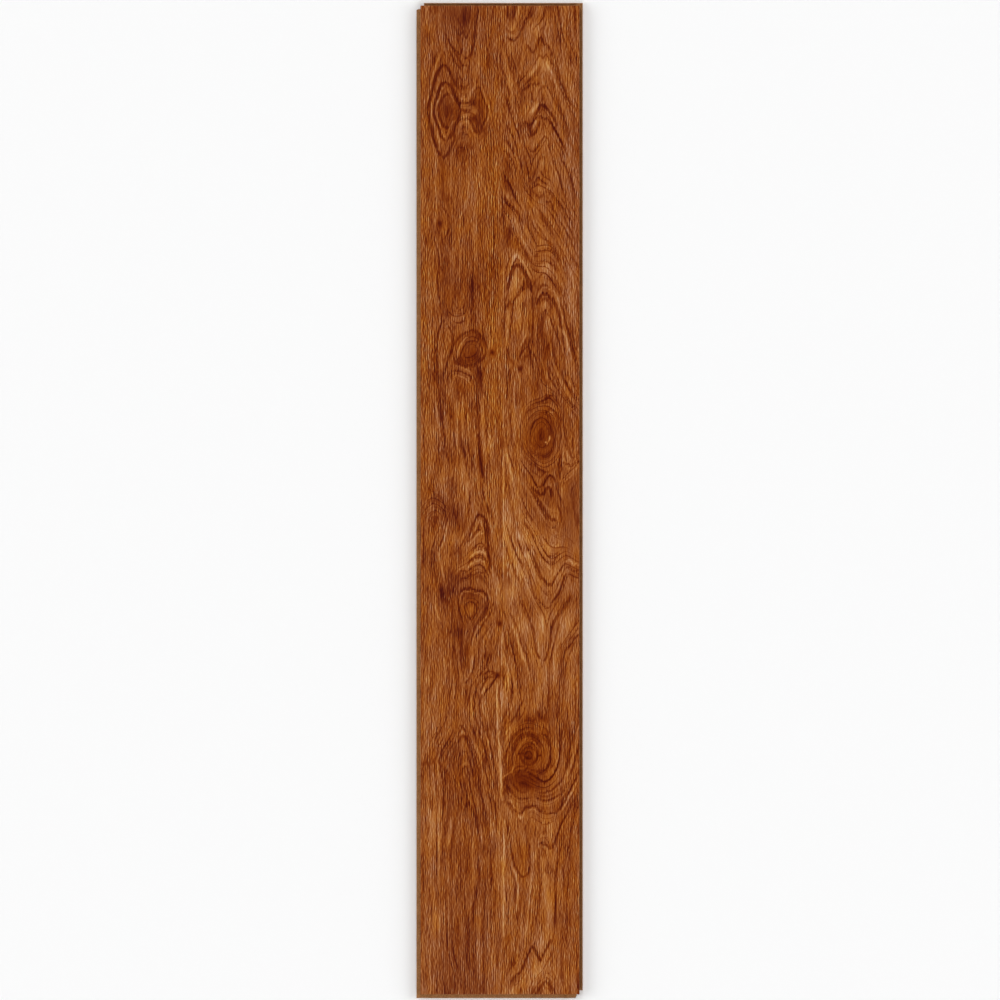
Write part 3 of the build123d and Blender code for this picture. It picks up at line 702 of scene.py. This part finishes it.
def grain_run(u, v, lines):
    """Direction of the grain all over the sheet, along the drawn lines and straight where there are none."""
    reach_u = 3.9 / (u[1] - u[0])
    reach_v = 5.6 / abs(v[1] - v[0])
    pulls = []
    for is_right in (False, True):
        across = np.zeros((len(v), len(u)))
        skew = np.zeros((len(v), len(u)))
        along = np.zeros((len(v), len(u)))
        for _, _, path in lines:
            points = flowing(path)
            if (points[:, 0].mean() > STRIP_SEAM) != is_right:
                continue
            middles = (points[1:] + points[:-1]) / 2
            runs = points[1:] - points[:-1]
            lengths = np.hypot(runs[:, 0], runs[:, 1])
            column = np.clip(np.rint((middles[:, 0] - u[0]) / (u[1] - u[0])), 0, len(u) - 1).astype(int)
            row = np.clip(np.rint((middles[:, 1] - v[0]) / (v[1] - v[0])), 0, len(v) - 1).astype(int)
            np.add.at(across, (row, column), runs[:, 0] ** 2 / lengths)
            np.add.at(skew, (row, column), runs[:, 0] * runs[:, 1] / lengths)
            np.add.at(along, (row, column), runs[:, 1] ** 2 / lengths)
        pulls.append([softened(pull, reach_v, reach_u) for pull in (across, skew, along)])
    across, skew, along = (np.where(u > STRIP_SEAM, right, left) for left, right in zip(*pulls))
    angle = 0.5 * np.arctan2(2 * skew, across - along - GRAIN_STRAIGHTNESS)
    return np.cos(angle), np.sin(angle)


def sampled(field, row, column):
    """Values of a field between its cells."""
    row = np.clip(row, 0, field.shape[0] - 1.001)
    column = np.clip(column, 0, field.shape[1] - 1.001)
    r0 = row.astype(int)
    c0 = column.astype(int)
    fr = row - r0
    fc = column - c0
    top = field[r0, c0] * (1 - fc) + field[r0, c0 + 1] * fc
    low = field[r0 + 1, c0] * (1 - fc) + field[r0 + 1, c0 + 1] * fc
    return top * (1 - fr) + low * fr


def strands(u, v, lines, length, thickness, seed):
    """Fine strands that run with the grain: random fibre, drawn out along its direction."""
    run_u, run_v = grain_run(u, v, lines)
    step_u = u[1] - u[0]
    step_v = v[1] - v[0]
    fibre = mottle(run_u.shape, max(thickness / abs(step_v), 1.0), thickness / step_u, seed)
    rows, columns = np.mgrid[0:len(v), 0:len(u)].astype(float)
    total = fibre.copy()
    for sign in (1, -1):
        row, column = rows.copy(), columns.copy()
        old_u, old_v = sign * run_u, sign * run_v
        for _ in range(int(length / STRAND_STRIDE)):
            now_u = sampled(run_u, row, column)
            now_v = sampled(run_v, row, column)
            turn = np.where(now_u * old_u + now_v * old_v < 0, -1, 1)
            old_u, old_v = now_u * turn, now_v * turn
            column = column + old_u * STRAND_STRIDE / step_u
            row = row + old_v * STRAND_STRIDE / step_v
            total += sampled(fibre, row, column)
    return total / total.std()


def growth_rings(u, v, lines):
    """Growth rings cut by the face: a height that is the same along each drawn line and climbs across them.

    The height is the one that comes nearest to both, found step by step. Also gives how steeply it climbs.
    """
    u = u[::2]
    v = v[::2]
    step_u = u[1] - u[0]
    step_v = v[1] - v[0]
    run_u, run_v = grain_run(u, v, lines)
    # Up the sheet, except round the knots, where the rings climb outwards
    up_u, up_v = -run_v, run_u
    turned = np.where(up_v > 0, -1.0, 1.0)
    climb = up_v ** 2
    for middle_u, middle_v, half_u, half_v in KNOTS:
        off_u = (u[None, :] - middle_u) / half_u
        off_v = (v[:, None] - middle_v) / half_v
        inside = off_u ** 2 + off_v ** 2 < 1
        outward = np.where(up_u * off_u / half_u + up_v * off_v / half_v < 0, -1.0, 1.0)
        turned = np.where(inside, outward, turned)
        climb = np.where(inside, KNOT_CLIMB, climb)

    def cells(field):
        return (field[:-1, :-1] + field[1:, :-1] + field[:-1, 1:] + field[1:, 1:]) / 4

    hold = np.ones((len(v) - 1, len(u) - 1))
    hold[:, int((STRIP_SEAM - u[0]) / step_u)] = SEAM_HOLD
    hold_u = hold * (cells(RING_STIFFNESS * run_u ** 2 + climb * run_v ** 2) + RING_SLACK)
    hold_v = hold * (cells(RING_STIFFNESS * run_v ** 2 + climb * run_u ** 2) + RING_SLACK)
    hold_both = hold * cells((RING_STIFFNESS - climb) * run_u * run_v)

    def gathered(push_u, push_v):
        push_u = push_u / (2 * step_u)
        push_v = push_v / (2 * step_v)
        total = np.zeros((len(v), len(u)))
        total[1:, 1:] += push_u + push_v
        total[:-1, 1:] += push_u - push_v
        total[1:, :-1] += push_v - push_u
        total[:-1, :-1] -= push_u + push_v
        return total

    def pull_of(height):
        rise_u = (height[:-1, 1:] - height[:-1, :-1] + height[1:, 1:] - height[1:, :-1]) / (2 * step_u)
        rise_v = (height[1:, :-1] - height[:-1, :-1] + height[1:, 1:] - height[:-1, 1:]) / (2 * step_v)
        push_u = hold_u * rise_u + hold_both * rise_v
        push_v = hold_both * rise_u + hold_v * rise_v
        return gathered(push_u, push_v) + 1e-7 * height

    height = np.zeros((len(v), len(u)))
    wanting = gathered(hold * cells(climb * turned * up_u), hold * cells(climb * turned * up_v))
    way = wanting.copy()
    size = (wanting ** 2).sum()
    for _ in range(RING_TURNS):
        pull = pull_of(way)
        share = size / (way * pull).sum()
        height += share * way
        wanting -= share * pull
        left = (wanting ** 2).sum()
        way = wanting + left / size * way
        size = left
    rise_v, rise_u = np.gradient(height, step_v, step_u)
    climbing = np.log2(softened(np.hypot(rise_u, rise_v), 3, 3) + 0.01)
    return height, climbing


def on_strip(u, v, middle_u, middle_v, half_u, half_v):
    """A soft oval spot, kept to the printed strip that its middle is on."""
    spot = np.exp(-0.8 * (((u - middle_u) / half_u) ** 2 + ((v - middle_v) / half_v) ** 2))
    return spot * ((u > STRIP_SEAM) == (middle_u > STRIP_SEAM))


def figure_print(across, along):
    """What the figure says at each row and column of the printed face: lines, stains, strands and rings."""
    u = SHEET_MIDDLE[0] + across / FACE_WIDTH * SHEET_WIDTH
    v = SHEET_MIDDLE[1] - along / FACE_LENGTH * SHEET_LENGTH
    shape = (len(v), len(u))
    # Open pores break the edges of each line up and down the grain
    ragged_u = u[None, :] + 0.25 * mottle(shape, 4, 3, 11)
    ragged_v = v[:, None] + 0.7 * mottle(shape, 5, 1.2, 12) + 0.5 * mottle(shape, 9, 4, 13)
    dark_lines = drawn(DARK_LINES) + both_halves(DARK_EYE_LINES)
    light_lines = drawn(LIGHT_LINES) + both_halves(LIGHT_EYE_LINES)
    dark, dark_ink = line_print(u, v, ragged_u, ragged_v, dark_lines)
    light, light_ink = line_print(u, v, ragged_u, ragged_v, light_lines)
    fine = strands(u, v, dark_lines + light_lines, 14, 1.1, 31)
    broad = strands(u, v, dark_lines + light_lines, 30, 3.0, 32)
    rows, columns = np.mgrid[0:len(v), 0:len(u)] / 2
    height, climbing = growth_rings(u, v, dark_lines + light_lines)
    tone = np.zeros(shape)
    warmth = np.zeros(shape)
    for darkening, warm, middle_u, middle_v, half_u, half_v in STAINS:
        rough = min(1.0, half_u / ROUGH_FROM)
        spot_u = u[None, :] + rough * (ragged_u - u[None, :])
        spot_v = v[:, None] + rough * (ragged_v - v[:, None])
        stain = on_strip(spot_u, spot_v, middle_u, middle_v, half_u, half_v)
        tone -= darkening * stain
        warmth += warm * stain
    for darkening, *spot in SHADES:
        tone -= darkening * on_strip(ragged_u, ragged_v, *spot)
    depth = np.ones(shape)
    for change, *spot in PORE_ZONES:
        depth += change * on_strip(u[None, :], v[:, None], *spot)
    ink = np.ones(shape)
    for change, *spot in RING_ZONES:
        ink += change * on_strip(u[None, :], v[:, None], *spot)
    climbing = sampled(climbing, rows, columns)
    for knot in KNOTS:
        climbing -= KNOT_CROWDING * on_strip(u[None, :], v[:, None], *knot)
    return {"dark_line": dark, "dark_ink": dark_ink, "light_line": light, "light_ink": light_ink,
            "stain_tone": tone, "stain_warmth": warmth, "grain_strand": fine, "grain_band": broad,
            "ring_height": sampled(height, rows, columns), "ring_climb": climbing,
            "pore_depth": np.clip(depth, 0.2, 1.8), "ring_ink": np.clip(ink, 0.0, 2.0)}


# Board, from the milled solid

def edit(piece):
    """Opens one piece for modelling, with nothing selected."""
    bpy.ops.object.select_all(action="DESELECT")
    piece.select_set(True)
    bpy.context.view_layer.objects.active = piece
    bpy.ops.object.mode_set(mode="EDIT")
    bpy.ops.mesh.select_mode(type="FACE")
    bpy.ops.mesh.select_all(action="DESELECT")
    return bmesh.from_edit_mesh(piece.data)


def cut_rim(piece, lengthways, *cuts):
    """Divides the long or the short edges of the open rim, round by round."""
    for number in cuts:
        bpy.ops.mesh.select_mode(type="EDGE")
        bpy.ops.mesh.select_all(action="DESELECT")
        shape = bmesh.from_edit_mesh(piece.data)
        for edge in shape.edges:
            run = edge.verts[1].co - edge.verts[0].co
            is_long = abs(run.y) > abs(run.x)
            edge.select_set(edge.is_boundary and is_long == lengthways)
        bmesh.update_edit_mesh(piece.data)
        bpy.ops.mesh.subdivide(number_cuts=number - 1)


def milled_board(solid):
    """The plank as one mesh: the milled solid with its printed face divided into fine cells."""
    board = bpy.data.objects.new("plank_board", solid.data.copy())
    bpy.context.scene.collection.objects.link(board)
    board.data.materials.clear()
    edit(board)
    bpy.ops.mesh.select_all(action="SELECT")
    bpy.ops.mesh.remove_doubles(threshold=SAME_PLACE)
    bpy.ops.mesh.select_all(action="DESELECT")
    shape = bmesh.from_edit_mesh(board.data)
    for face in shape.faces:
        face.select_set(all(vertex.co.z > THICKNESS - SAME_PLACE for vertex in face.verts))
    bmesh.update_edit_mesh(board.data)
    bpy.ops.mesh.delete(type="FACE")
    cut_rim(board, True, FIRST_CUTS_ALONG, CELLS_ALONG // FIRST_CUTS_ALONG)
    cut_rim(board, False, FIRST_CUTS_ACROSS, CELLS_ACROSS // FIRST_CUTS_ACROSS)
    bpy.ops.mesh.select_all(action="DESELECT")
    bpy.ops.mesh.primitive_grid_add(
        x_subdivisions=CELLS_ACROSS, y_subdivisions=CELLS_ALONG, size=1, location=(0, 0, THICKNESS))
    inside = (FACE_WIDTH - 2 * EDGE_BEVEL, FACE_LENGTH - 2 * EDGE_BEVEL, 1)
    bpy.ops.transform.resize(value=inside, center_override=(0, 0, THICKNESS))
    bpy.ops.mesh.select_all(action="SELECT")
    bpy.ops.mesh.remove_doubles(threshold=1e-5)
    bpy.ops.mesh.select_all(action="DESELECT")
    bpy.ops.object.mode_set(mode="OBJECT")
    return board


def press_face(board):
    """Presses the grain into the printed face and keeps the figure on the mesh for the print."""
    mesh = board.data
    places = np.empty(len(mesh.vertices) * 3)
    mesh.vertices.foreach_get("co", places)
    places = places.reshape(-1, 3)
    half_width = FACE_WIDTH / 2 - EDGE_BEVEL
    half_length = FACE_LENGTH / 2 - EDGE_BEVEL
    across = np.linspace(-half_width, half_width, CELLS_ACROSS + 1)
    along = np.linspace(-half_length, half_length, CELLS_ALONG + 1)
    figure = figure_print(across, along)
    column = np.clip((places[:, 0] + half_width) / (2 * half_width) * CELLS_ACROSS, 0, CELLS_ACROSS)
    row = np.clip((places[:, 1] + half_length) / (2 * half_length) * CELLS_ALONG, 0, CELLS_ALONG)
    column = np.rint(column).astype(int)
    row = np.rint(row).astype(int)
    for name in figure:
        mesh.attributes.new(name, "FLOAT", "POINT")
    for name, field in figure.items():
        mesh.attributes[name].data.foreach_set("value", field[row, column].astype(np.float32))
    lines = figure["dark_line"] * figure["dark_ink"] - figure["light_line"] * figure["light_ink"]
    sunk = np.clip(0.3 + 0.6 * lines + 0.25 * mottle(lines.shape, 6, 1.5, 21), 0, 1)
    sunk[[0, -1], :] = 0
    sunk[:, [0, -1]] = 0
    face = places[:, 2] > THICKNESS - SAME_PLACE
    places[face, 2] -= EMBOSS_DEPTH * sunk[row, column][face]
    mesh.vertices.foreach_set("co", places.ravel())
    mesh.update()
    bpy.ops.object.select_all(action="DESELECT")
    board.select_set(True)
    bpy.context.view_layer.objects.active = board
    bpy.ops.object.shade_smooth_by_angle(angle=SMOOTH_ANGLE)


def sort_faces(board):
    """Gives each face its finish: 0 print, 1 fibreboard, 2 backing."""
    mesh = board.data
    for face in mesh.polygons:
        height = face.center.z
        if height > THICKNESS - EDGE_BEVEL * 1.05:
            face.material_index = 0
        elif height < SAME_PLACE:
            face.material_index = 2
        else:
            face.material_index = 1


def lay_out(board):
    """Flat layout of the board's skin: the printed face in one long strip, the rest beside it."""
    mesh = board.data
    mesh.uv_layers.active = mesh.uv_layers.new(name="OFBake")
    shape = edit(board)
    for face in shape.faces:
        face.select_set(face.material_index != 0)
    bmesh.update_edit_mesh(mesh)
    bpy.ops.uv.smart_project(angle_limit=math.radians(60), island_margin=0.002)
    bpy.ops.object.mode_set(mode="OBJECT")
    layout = mesh.uv_layers["OFBake"]
    spots = np.empty(len(mesh.loops) * 2)
    layout.data.foreach_get("uv", spots)
    spots = spots.reshape(-1, 2)
    corners = np.empty(len(mesh.loops), int)
    mesh.loops.foreach_get("vertex_index", corners)
    places = np.empty(len(mesh.vertices) * 3)
    mesh.vertices.foreach_get("co", places)
    places = places.reshape(-1, 3)[corners]
    finish = np.empty(len(mesh.polygons), int)
    mesh.polygons.foreach_get("material_index", finish)
    sides = np.empty(len(mesh.polygons), int)
    mesh.polygons.foreach_get("loop_total", sides)
    printed = np.repeat(finish, sides) == 0
    spots[~printed] = spots[~printed] * (0.17, 0.99) + (0.825, 0.005)
    long_share = 1 - 2 * LAYOUT_MARGIN
    spots[printed, 0] = LAYOUT_MARGIN + PRINT_SHARE * (places[printed, 0] / FACE_WIDTH + 0.5)
    spots[printed, 1] = LAYOUT_MARGIN + long_share * (places[printed, 1] / FACE_LENGTH + 0.5)
    layout.data.foreach_set("uv", spots.ravel())


# Finishes

def place(tree, kind, links=None, **settings):
    """Adds a node, sets it up and joins its inputs."""
    node = tree.nodes.new(kind)
    for name, value in settings.items():
        setattr(node, name, value)
    for name, value in (links or {}).items():
        if isinstance(value, bpy.types.NodeSocket):
            tree.links.new(value, node.inputs[name])
        else:
            node.inputs[name].default_value = value
    return node


def worked_out(tree, kind, first, second):
    """Math on two values."""
    return place(tree, "ShaderNodeMath", {0: first, 1: second}, operation=kind).outputs[0]


def plus(tree, first, second):
    """Two values together."""
    return worked_out(tree, "ADD", first, second)


def minus(tree, first, second):
    """The first value less the second."""
    return worked_out(tree, "SUBTRACT", first, second)


def times(tree, first, second):
    """The first value as many times as the second says."""
    return worked_out(tree, "MULTIPLY", first, second)


def size_of(tree, value):
    """A value without its sign."""
    return place(tree, "ShaderNodeMath", {0: value}, operation="ABSOLUTE").outputs[0]


def scaled(tree, value, low, high, to_low, to_high):
    """A value carried from one range to another, held at its ends."""
    links = {"Value": value, "From Min": low, "From Max": high, "To Min": to_low, "To Max": to_high}
    return place(tree, "ShaderNodeMapRange", links).outputs[0]


def fibre_noise(tree, where, across, along, depth, detail, shift_across, shift_along=0.0):
    """Noise drawn out along the grain; the sizes are its lumps per metre."""
    links = {"Vector": where, "Location": (shift_across, shift_along, 0), "Scale": (across, along, depth)}
    stretched = place(tree, "ShaderNodeMapping", links).outputs[0]
    links = {"Vector": stretched, "Scale": 1.0, "Detail": detail, "Roughness": 0.5}
    return place(tree, "ShaderNodeTexNoise", links, noise_dimensions="3D").outputs["Fac"]


def new_finish(name):
    """An empty material with its shader."""
    material = bpy.data.materials.new(name)
    material.use_nodes = True
    tree = material.node_tree
    shader = tree.nodes["Principled BSDF"]
    return material, tree, shader


def colour_stops(tree, value, stops):
    """Colours by value, from 0 to 1."""
    ramp = place(tree, "ShaderNodeValToRGB", {"Fac": value})
    elements = ramp.color_ramp.elements
    while len(elements) < len(stops):
        elements.new(0.5)
    for element, (at, colour) in zip(elements, stops):
        element.position = at
        element.color = colour
    return ramp.outputs["Color"]


def attribute(tree, name):
    """A value kept on the board's mesh."""
    return place(tree, "ShaderNodeAttribute", attribute_name=name).outputs["Fac"]


def inked(tree, name, pores_and_pore_highlights, roughen):
    """How strongly a drawn line shows, its edges broken by the pores."""
    edge = plus(tree, attribute(tree, name + "_line"), times(tree, pores_and_pore_highlights, roughen))
    links = {"Value": edge, "From Min": 0.25, "From Max": 0.90, "To Min": 0.0, "To Max": 1.0}
    shown = place(tree, "ShaderNodeMapRange", links, interpolation_type="SMOOTHSTEP").outputs[0]
    return times(tree, shown, attribute(tree, name + "_ink"))


def ring_lines(tree, where, ragged):
    """Fine dark growth lines, evenly spaced whether the rings climb steeply or gently."""
    height = attribute(tree, "ring_height")
    climb = attribute(tree, "ring_climb")
    along = place(tree, "ShaderNodeSeparateXYZ", {"Vector": where}).outputs["Y"]
    total = None
    for octave in (-2, -1, 0, 1):
        share = scaled(tree, size_of(tree, minus(tree, climb, octave)), 0.0, 1.0, 1.0, 0.0)
        ring = plus(tree, times(tree, height, 1 / (RING_SPACING * 2 ** octave)), ragged)
        links = {"X": ring, "Y": times(tree, along, RING_PATCHES), "Z": 5.3 * octave}
        spot = place(tree, "ShaderNodeCombineXYZ", links)
        links = {"Vector": spot.outputs[0], "Scale": 1.0, "Detail": 0.0}
        grown = place(tree, "ShaderNodeTexNoise", links, noise_dimensions="3D").outputs["Fac"]
        gap = worked_out(tree, "PINGPONG", ring, 0.5)
        line = scaled(tree, gap, 0.03, 0.14, -1.0, 0.07)
        line = times(tree, line, scaled(tree, grown, 0.38, 0.62, 0.1, 1.0))
        line = times(tree, line, share)
        total = line if total is None else plus(tree, total, line)
    return total


def printed_finish():
    """Wood print under a satin wear layer."""
    material, tree, shader = new_finish("printed_wood_face")
    where = place(tree, "ShaderNodeTexCoord").outputs["Object"]
    streak = fibre_noise(tree, where, 190, 9, 1, 2.0, 14.2)
    cloud = fibre_noise(tree, where, 26, 7, 1, 2.0, 21.9)
    # Open pores: swaying rows, a fine tooth of painted highlight and painted shade beside each pore, as a
    # side-lit emboss would show, and longer dashes
    across = place(tree, "ShaderNodeSeparateXYZ", {"Vector": where}).outputs["X"]
    sway = times(tree, fibre_noise(tree, where, 150, 34, 1, 0.0, 44.4), 9)
    turn = plus(tree, times(tree, across, 2 * math.pi / PORE_STEP), sway)
    rows = place(tree, "ShaderNodeMath", {0: turn}, operation="SINE").outputs[0]
    rows = scaled(tree, rows, -1.0, 0.4, -1.5, 0.8)
    broken = fibre_noise(tree, where, 370, 105, 1, 0.0, 61.7)
    rows = times(tree, rows, scaled(tree, broken, 0.3, 0.7, 0.0, 0.8))
    rows = times(tree, rows, scaled(tree, attribute(tree, "pore_depth"), 0.5, 1.6, 0.45, 1.0))
    # Painted highlight and shade: the fine pores less the same pores shifted across, so each pore gets a
    # painted dark side and a painted lit side
    fine = fibre_noise(tree, where, 813, 170, 1, 0.0, 3.1, 3.1)
    beside = fibre_noise(tree, where, 813, 170, 1, 0.0, 3.1 + 0.9, 3.1)
    pore_highlight_and_shade = times(tree, minus(tree, fine, beside), 1.8)
    dash = scaled(tree, fibre_noise(tree, where, 640, 36, 1, 0.0, 8.7), 0.24, 0.42, -0.65, 0.08)
    # Real pores together with their painted highlight and shade; the same value also gives the bump and the
    # roughness
    pores_and_pore_highlights = plus(tree, plus(tree, rows, pore_highlight_and_shade), dash)
    pores_and_pore_highlights = times(tree, pores_and_pore_highlights, attribute(tree, "pore_depth"))
    # Broad bands
    bands = scaled(tree, streak, 0.2, 0.8, -0.15, 0.15)
    bands = plus(tree, bands, scaled(tree, cloud, 0.2, 0.8, -0.15, 0.15))
    bands = plus(tree, bands, times(tree, attribute(tree, "grain_band"), 0.11))
    # Drawn lines, strands and growth rings
    lines = minus(tree, inked(tree, "light", pores_and_pore_highlights, -0.15), inked(tree, "dark", pores_and_pore_highlights, -0.15))
    strand = scaled(tree, attribute(tree, "grain_strand"), -1.9, -0.2, -0.5, 0.13)
    rings = ring_lines(tree, where, times(tree, pores_and_pore_highlights, 0.12))
    strand = times(tree, plus(tree, strand, rings), attribute(tree, "ring_ink"))
    shade = times(tree, attribute(tree, "stain_tone"), 1.3)
    figure = plus(tree, times(tree, lines, 1.5), shade)
    figure = plus(tree, figure, strand)
    tone = plus(tree, plus(tree, figure, pores_and_pore_highlights), bands)
    # Colour by tone, then cooler or warmer by patches
    spread = scaled(tree, tone, -1.62, 1.58, 0.0, 1.0)
    wood = colour_stops(tree, spread, [
        (0.00, srgb(75, 19, 8)), (0.19, srgb(100, 35, 10)), (0.35, srgb(121, 53, 15)),
        (0.50, srgb(142, 74, 28)), (0.66, srgb(163, 97, 47)), (0.81, srgb(182, 121, 69)),
        (1.00, srgb(201, 150, 98))])
    warmth = attribute(tree, "stain_warmth")
    patch = scaled(tree, fibre_noise(tree, where, 110, 34, 1, 2.0, 71.3), 0.2, 0.8, -1.2, 1.2)
    hue = scaled(tree, plus(tree, times(tree, warmth, 0.7), patch), -1.0, 1.0, 0.0, 1.0)
    tint = colour_stops(tree, hue, [
        (0.0, (0.94, 1.01, 1.50, 1)), (0.5, (1, 1, 1, 1)), (1.0, (1.05, 0.97, 0.55, 1))])
    tinted = place(tree, "ShaderNodeMix", {0: 1.0, 6: wood, 7: tint}, data_type="RGBA", blend_type="MULTIPLY")
    wood = tinted.outputs[2]
    tree.links.new(wood, shader.inputs["Base Color"])
    tree.links.new(scaled(tree, pores_and_pore_highlights, -1.2, 1.2, 0.36, 0.27), shader.inputs["Roughness"])
    relief = place(tree, "ShaderNodeBump", {"Height": pores_and_pore_highlights, "Strength": 0.2, "Distance": 0.0001})
    tree.links.new(relief.outputs["Normal"], shader.inputs["Normal"])
    shader.inputs["Specular IOR Level"].default_value = 0.25
    return material


def fleck_group():
    """Wood fibres pressed into a board: a value that varies from fleck to fleck."""
    group = bpy.data.node_groups.new("pressed_fibre_flecks", "ShaderNodeTree")
    group.interface.new_socket("Place", in_out="INPUT", socket_type="NodeSocketVector")
    group.interface.new_socket("Fleck", in_out="OUTPUT", socket_type="NodeSocketFloat")
    start = group.nodes.new("NodeGroupInput")
    end = group.nodes.new("NodeGroupOutput")
    where = start.outputs["Place"]
    fibres = fibre_noise(group, where, 900, 500, 1400, 3.0, 2.3)
    lumps = fibre_noise(group, where, 130, 70, 260, 2.0, 6.1)
    fleck = plus(group, times(group, fibres, 0.7), times(group, lumps, 0.3))
    group.links.new(fleck, end.inputs["Fleck"])
    return group


def fibreboard_finish(flecks):
    """Milled edge of the dense fibreboard, darker where the press packed it, with its cutter's marks."""
    material, tree, shader = new_finish("milled_fibreboard_edge")
    where = place(tree, "ShaderNodeTexCoord").outputs["Object"]
    fleck = place(tree, "ShaderNodeGroup", {"Place": where}, node_tree=flecks).outputs["Fleck"]
    height = place(tree, "ShaderNodeSeparateXYZ", {"Vector": where}).outputs["Z"]
    from_middle = size_of(tree, minus(tree, height, THICKNESS / 2))
    packed = scaled(tree, from_middle, PACKED_FROM, THICKNESS / 2, 0.0, -0.12)
    tone = plus(tree, fleck, packed)
    colour = colour_stops(tree, tone, [
        (0.20, srgb(104, 66, 36)), (0.42, srgb(138, 93, 55)),
        (0.58, srgb(157, 110, 68)), (0.80, srgb(180, 136, 92))])
    tree.links.new(colour, shader.inputs["Base Color"])
    tree.links.new(scaled(tree, fleck, 0.3, 0.7, 0.78, 0.62), shader.inputs["Roughness"])
    relief = place(tree, "ShaderNodeBump", {"Height": fleck, "Strength": 0.35, "Distance": 0.00015})
    tree.links.new(relief.outputs["Normal"], shader.inputs["Normal"])
    shader.inputs["Specular IOR Level"].default_value = 0.25
    return material


def backing_finish(flecks):
    """Sealed kraft paper on the underside."""
    material, tree, shader = new_finish("backing_paper")
    where = place(tree, "ShaderNodeTexCoord").outputs["Object"]
    fleck = place(tree, "ShaderNodeGroup", {"Place": where}, node_tree=flecks).outputs["Fleck"]
    cloud = fibre_noise(tree, where, 30, 12, 1, 3.0, 31.4)
    tone = plus(tree, times(tree, fleck, 0.6), times(tree, cloud, 0.4))
    colour = colour_stops(tree, tone, [
        (0.25, srgb(150, 122, 92)), (0.50, srgb(172, 144, 112)), (0.75, srgb(190, 164, 133))])
    tree.links.new(colour, shader.inputs["Base Color"])
    tree.links.new(scaled(tree, fleck, 0.3, 0.7, 0.62, 0.50), shader.inputs["Roughness"])
    relief = place(tree, "ShaderNodeBump", {"Height": fleck, "Strength": 0.2, "Distance": 0.0001})
    tree.links.new(relief.outputs["Normal"], shader.inputs["Normal"])
    return material


# Studio

FLOOR_SIZE = 60.0
VIEW_DISTANCE = 6.0
VIEW_SIDE = 1.2317  # metres seen across the picture, at the printed face
SENSOR = 36.0
LAMP_HEIGHT = 32  # degrees above the floor
LAMP_SPREAD = math.radians(36)


def pale_floor():
    """Floor that the plank lies on."""
    bpy.ops.object.select_all(action="DESELECT")
    bpy.ops.mesh.primitive_plane_add(size=FLOOR_SIZE, location=(0, 0, 0))
    floor = bpy.context.active_object
    floor.name = "floor"
    material, _, shader = new_finish("pale_floor")
    shader.inputs["Base Color"].default_value = (0.94, 0.94, 0.94, 1)
    shader.inputs["Roughness"].default_value = 0.9
    shader.inputs["Specular IOR Level"].default_value = 0.0
    floor.data.materials.append(material)


def soft_lamp(name, azimuth, strength):
    """A wide soft lamp, far off, in the direction given in degrees."""
    lamp = bpy.data.lights.new(name, "SUN")
    lamp.energy = strength
    lamp.angle = LAMP_SPREAD
    holder = bpy.data.objects.new(name, lamp)
    holder.rotation_euler = (math.radians(90 - LAMP_HEIGHT), 0, math.radians(azimuth))
    holder.visible_glossy = False  # no glare of the lamp itself on the satin face
    bpy.context.scene.collection.objects.link(holder)


def studio_light():
    """Four soft lamps round the plank, and a room with pale walls and a dim ceiling."""
    soft_lamp("lamp_left", -90, 1.3)
    soft_lamp("lamp_right", 90, 1.2)
    soft_lamp("lamp_head", 180, 1.25)
    soft_lamp("lamp_foot", 0, 1.15)
    world = bpy.data.worlds.new("studio_room")
    bpy.context.scene.world = world
    world.use_nodes = True
    tree = world.node_tree
    toward = place(tree, "ShaderNodeTexCoord").outputs["Generated"]
    height = place(tree, "ShaderNodeSeparateXYZ", {"Vector": toward}).outputs["Z"]
    wall = colour_stops(tree, height, [(0.25, (0.9, 0.9, 0.9, 1)), (0.6, (0.04, 0.04, 0.04, 1))])
    tree.links.new(wall, tree.nodes["Background"].inputs["Color"])


def overhead_camera():
    """Camera straight above the plank, with the head of the plank at the top of the picture."""
    camera = bpy.data.cameras.new("overhead")
    camera.sensor_width = SENSOR
    camera.lens = SENSOR * VIEW_DISTANCE / VIEW_SIDE
    camera.clip_end = 200
    holder = bpy.data.objects.new("overhead", camera)
    holder.location = (0, 0, THICKNESS + VIEW_DISTANCE)
    bpy.context.scene.collection.objects.link(holder)
    bpy.context.scene.camera = holder


board = milled_board(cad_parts["plank"])
sort_faces(board)
press_face(board)
lay_out(board)
flecks = fleck_group()
for finish in (printed_finish(), fibreboard_finish(flecks), backing_finish(flecks)):
    board.data.materials.append(finish)
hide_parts("plank")
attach(board, "root")

pale_floor()
studio_light()
overhead_camera()
bpy.context.scene.view_settings.view_transform = "Standard"

bpy.context.view_layer.update()
